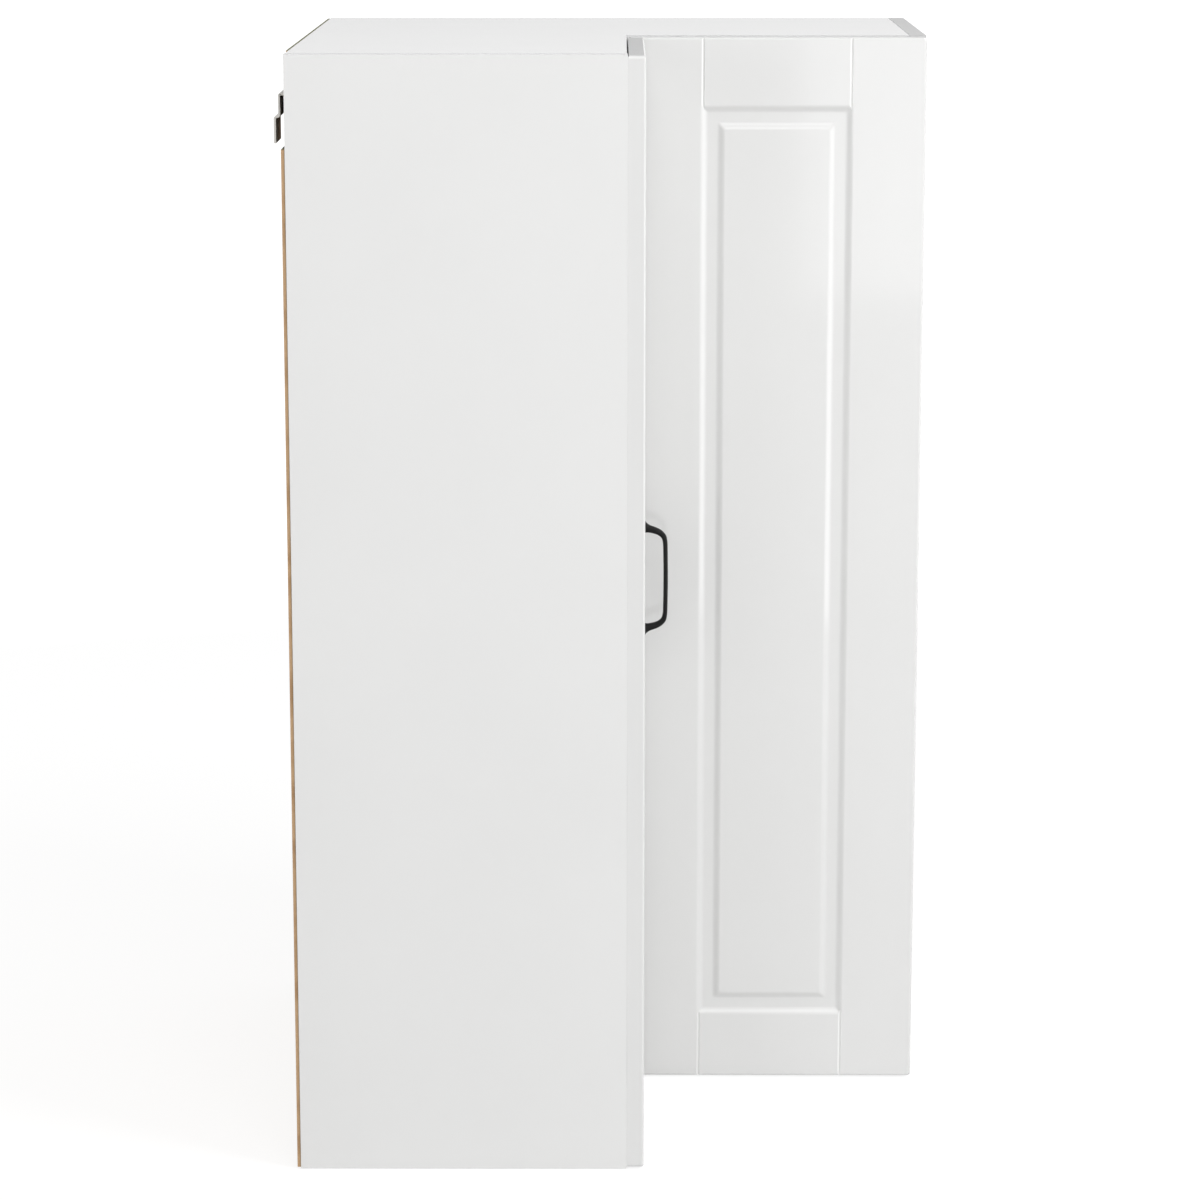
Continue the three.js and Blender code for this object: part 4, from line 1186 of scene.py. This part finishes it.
def hinge_cup():
    seat = LEFT_DOOR_BACK - SEAM
    face = seat - CUP_FLANGE
    bottom = seat + CUP_DEPTH - 0.3
    radius = CUP_BORE - 0.3
    wall = radius - CUP_WALL
    inner = [(CUP_BORE + 1.2, seat), (CUP_BORE + 1.2, face + 0.15), (CUP_BORE + 1.0, face)]
    inner += [(radius - 0.9, face), (wall, face + 0.4), (wall, bottom - 3)]
    inner += [(radius - 2.2, bottom - 1.2), (radius - 4, bottom - 0.9), (0.5, bottom - 0.9)]
    outer = [(radius, seat - 0.1), (radius, bottom - 2), (radius - 2, bottom)]
    inside, outside = (turned(profile, "X", (0, CUP_CENTRE, 0), 72) for profile in (inner, outer))
    for shape in (inside, outside):
        caps = [f for f in shape.faces if len(f.verts) > 4]
        caps = [f for f in caps if abs(f.calc_center_median().x - seat) < 0.3]
        bmesh.ops.delete(shape, geom=caps, context="FACES_ONLY")
    wing_y = CUP_CENTRE + 9.5
    wings = prism(stadium((wing_y, -25), (wing_y, 25), 6), "X", face, seat)
    opening = prism(disc(CUP_CENTRE, 0, radius - 0.9, 72), "X", face - 1, seat + 1)
    wings = cut(eased(wings, 0.2, 1), opening)
    rivet = turned([(0.7, -9.9), (1, -9.7), (1, 9.7), (0.7, 9.9)], "Z", (*CUP_PIVOT, 0), 24)
    places = [(face + 0.05, wing_y, z) for z in (-24, 24)]
    heads = [screw(backwards(FLAT_HEAD), "X", place, -1, 0.9) for place in places]
    return together(inside, outside, wings, rivet, *heads)


HINGE_PARTS = [("plate", mounting_plate, "cabinet"), ("arm", hinge_arm, "cabinet")]
HINGE_PARTS += [("link", hinge_link, "hinge_links"), ("cup", hinge_cup, "left_door")]
for i, height in enumerate(HINGE_HEIGHTS, 1):
    for part, build, body in HINGE_PARTS:
        piece(f"{part}_{i}", lifted(build(), height), body, *steel, f"hinge_{part}_{i}")


# ---------------------------------------------------------------- fold hinges
# Three butt hinges of rolled nickel-plated steel join the right door to the left one behind
# the inner corner. Countersunk screws fix each leaf.
FOLD_HEIGHTS = [150, HEIGHT / 2, 850]
FOLD_HALF = 25
FOLD_MIDDLE = 8.5
LEAF = 1.6
KNUCKLE = 2.5
KNUCKLE_BORE = 1.4
LEAF_SCREWS = (-17, 17)
FOLD_AXIS = pivot("right_door_fold")
LEAF_START = LEFT_DOOR_EDGE + LEFT_DOOR_WIDTH - 32
LEAF_END = RIGHT_DOOR_EDGE + 34


def knuckle(low, high):
    tube = eased(prism(disc(*FOLD_AXIS, KNUCKLE, 32), "Z", low, high), SMALL_EASE, above=60)
    return cut(tube, prism(disc(*FOLD_AXIS, KNUCKLE_BORE, 24), "Z", low - 1, high + 1))


def left_leaf():
    high = LEFT_DOOR_BACK - SEAM
    gap = FOLD_MIDDLE + 0.3
    near = RIGHT_DOOR_BACK - 6
    end = RIGHT_DOOR_BACK - 0.4
    outline = [(LEAF_START, -FOLD_HALF), (end, -FOLD_HALF), (end, -gap), (near, -gap)]
    outline += [(near, gap), (end, gap), (end, FOLD_HALF), (LEAF_START, FOLD_HALF)]
    leaf = eased(prism(outline, "X", high - LEAF, high), SMALL_EASE)
    places = [(high - LEAF + 0.8, LEAF_START + 7, z) for z in LEAF_SCREWS]
    heads = [screw(backwards(FLAT_HEAD), "X", place, -1, 0.7) for place in places]
    return together(leaf, knuckle(-FOLD_HALF, -gap), knuckle(gap, FOLD_HALF), *heads)


def right_leaf():
    low = RIGHT_DOOR_BACK + SEAM
    start = RIGHT_DOOR_EDGE + 5
    tongue = RIGHT_DOOR_EDGE + 0.4
    outline = [(tongue, -FOLD_MIDDLE), (start, -FOLD_MIDDLE), (start, -FOLD_HALF)]
    outline += [(LEAF_END, -FOLD_HALF), (LEAF_END, FOLD_HALF), (start, FOLD_HALF)]
    outline += [(start, FOLD_MIDDLE), (tongue, FOLD_MIDDLE)]
    leaf = eased(prism(outline, "Y", low, low + LEAF), SMALL_EASE)
    places = [(LEAF_END - 7, low + LEAF - 0.8, z) for z in LEAF_SCREWS]
    heads = [screw(FLAT_HEAD, "Y", place, 1, 0.7) for place in places]
    return together(leaf, knuckle(-FOLD_MIDDLE, FOLD_MIDDLE), *heads)


def fold_pin():
    end = FOLD_HALF + 0.8
    profile = [(0.9, -end), (1.2, -end + 0.3), (1.2, end - 0.3), (0.9, end)]
    return turned(profile, "Z", (*FOLD_AXIS, 0), 24)


for i, height in enumerate(FOLD_HEIGHTS, 1):
    for side, leaf in (("left", left_leaf), ("right", right_leaf)):
        node = f"fold_leaf_{side}_{i}"
        piece(f"{side}_leaf_{i}", lifted(leaf(), height), side + "_door", *steel, node)
    piece(f"pin_{i}", lifted(fold_pin(), height), "left_door", *steel, f"fold_pin_{i}")
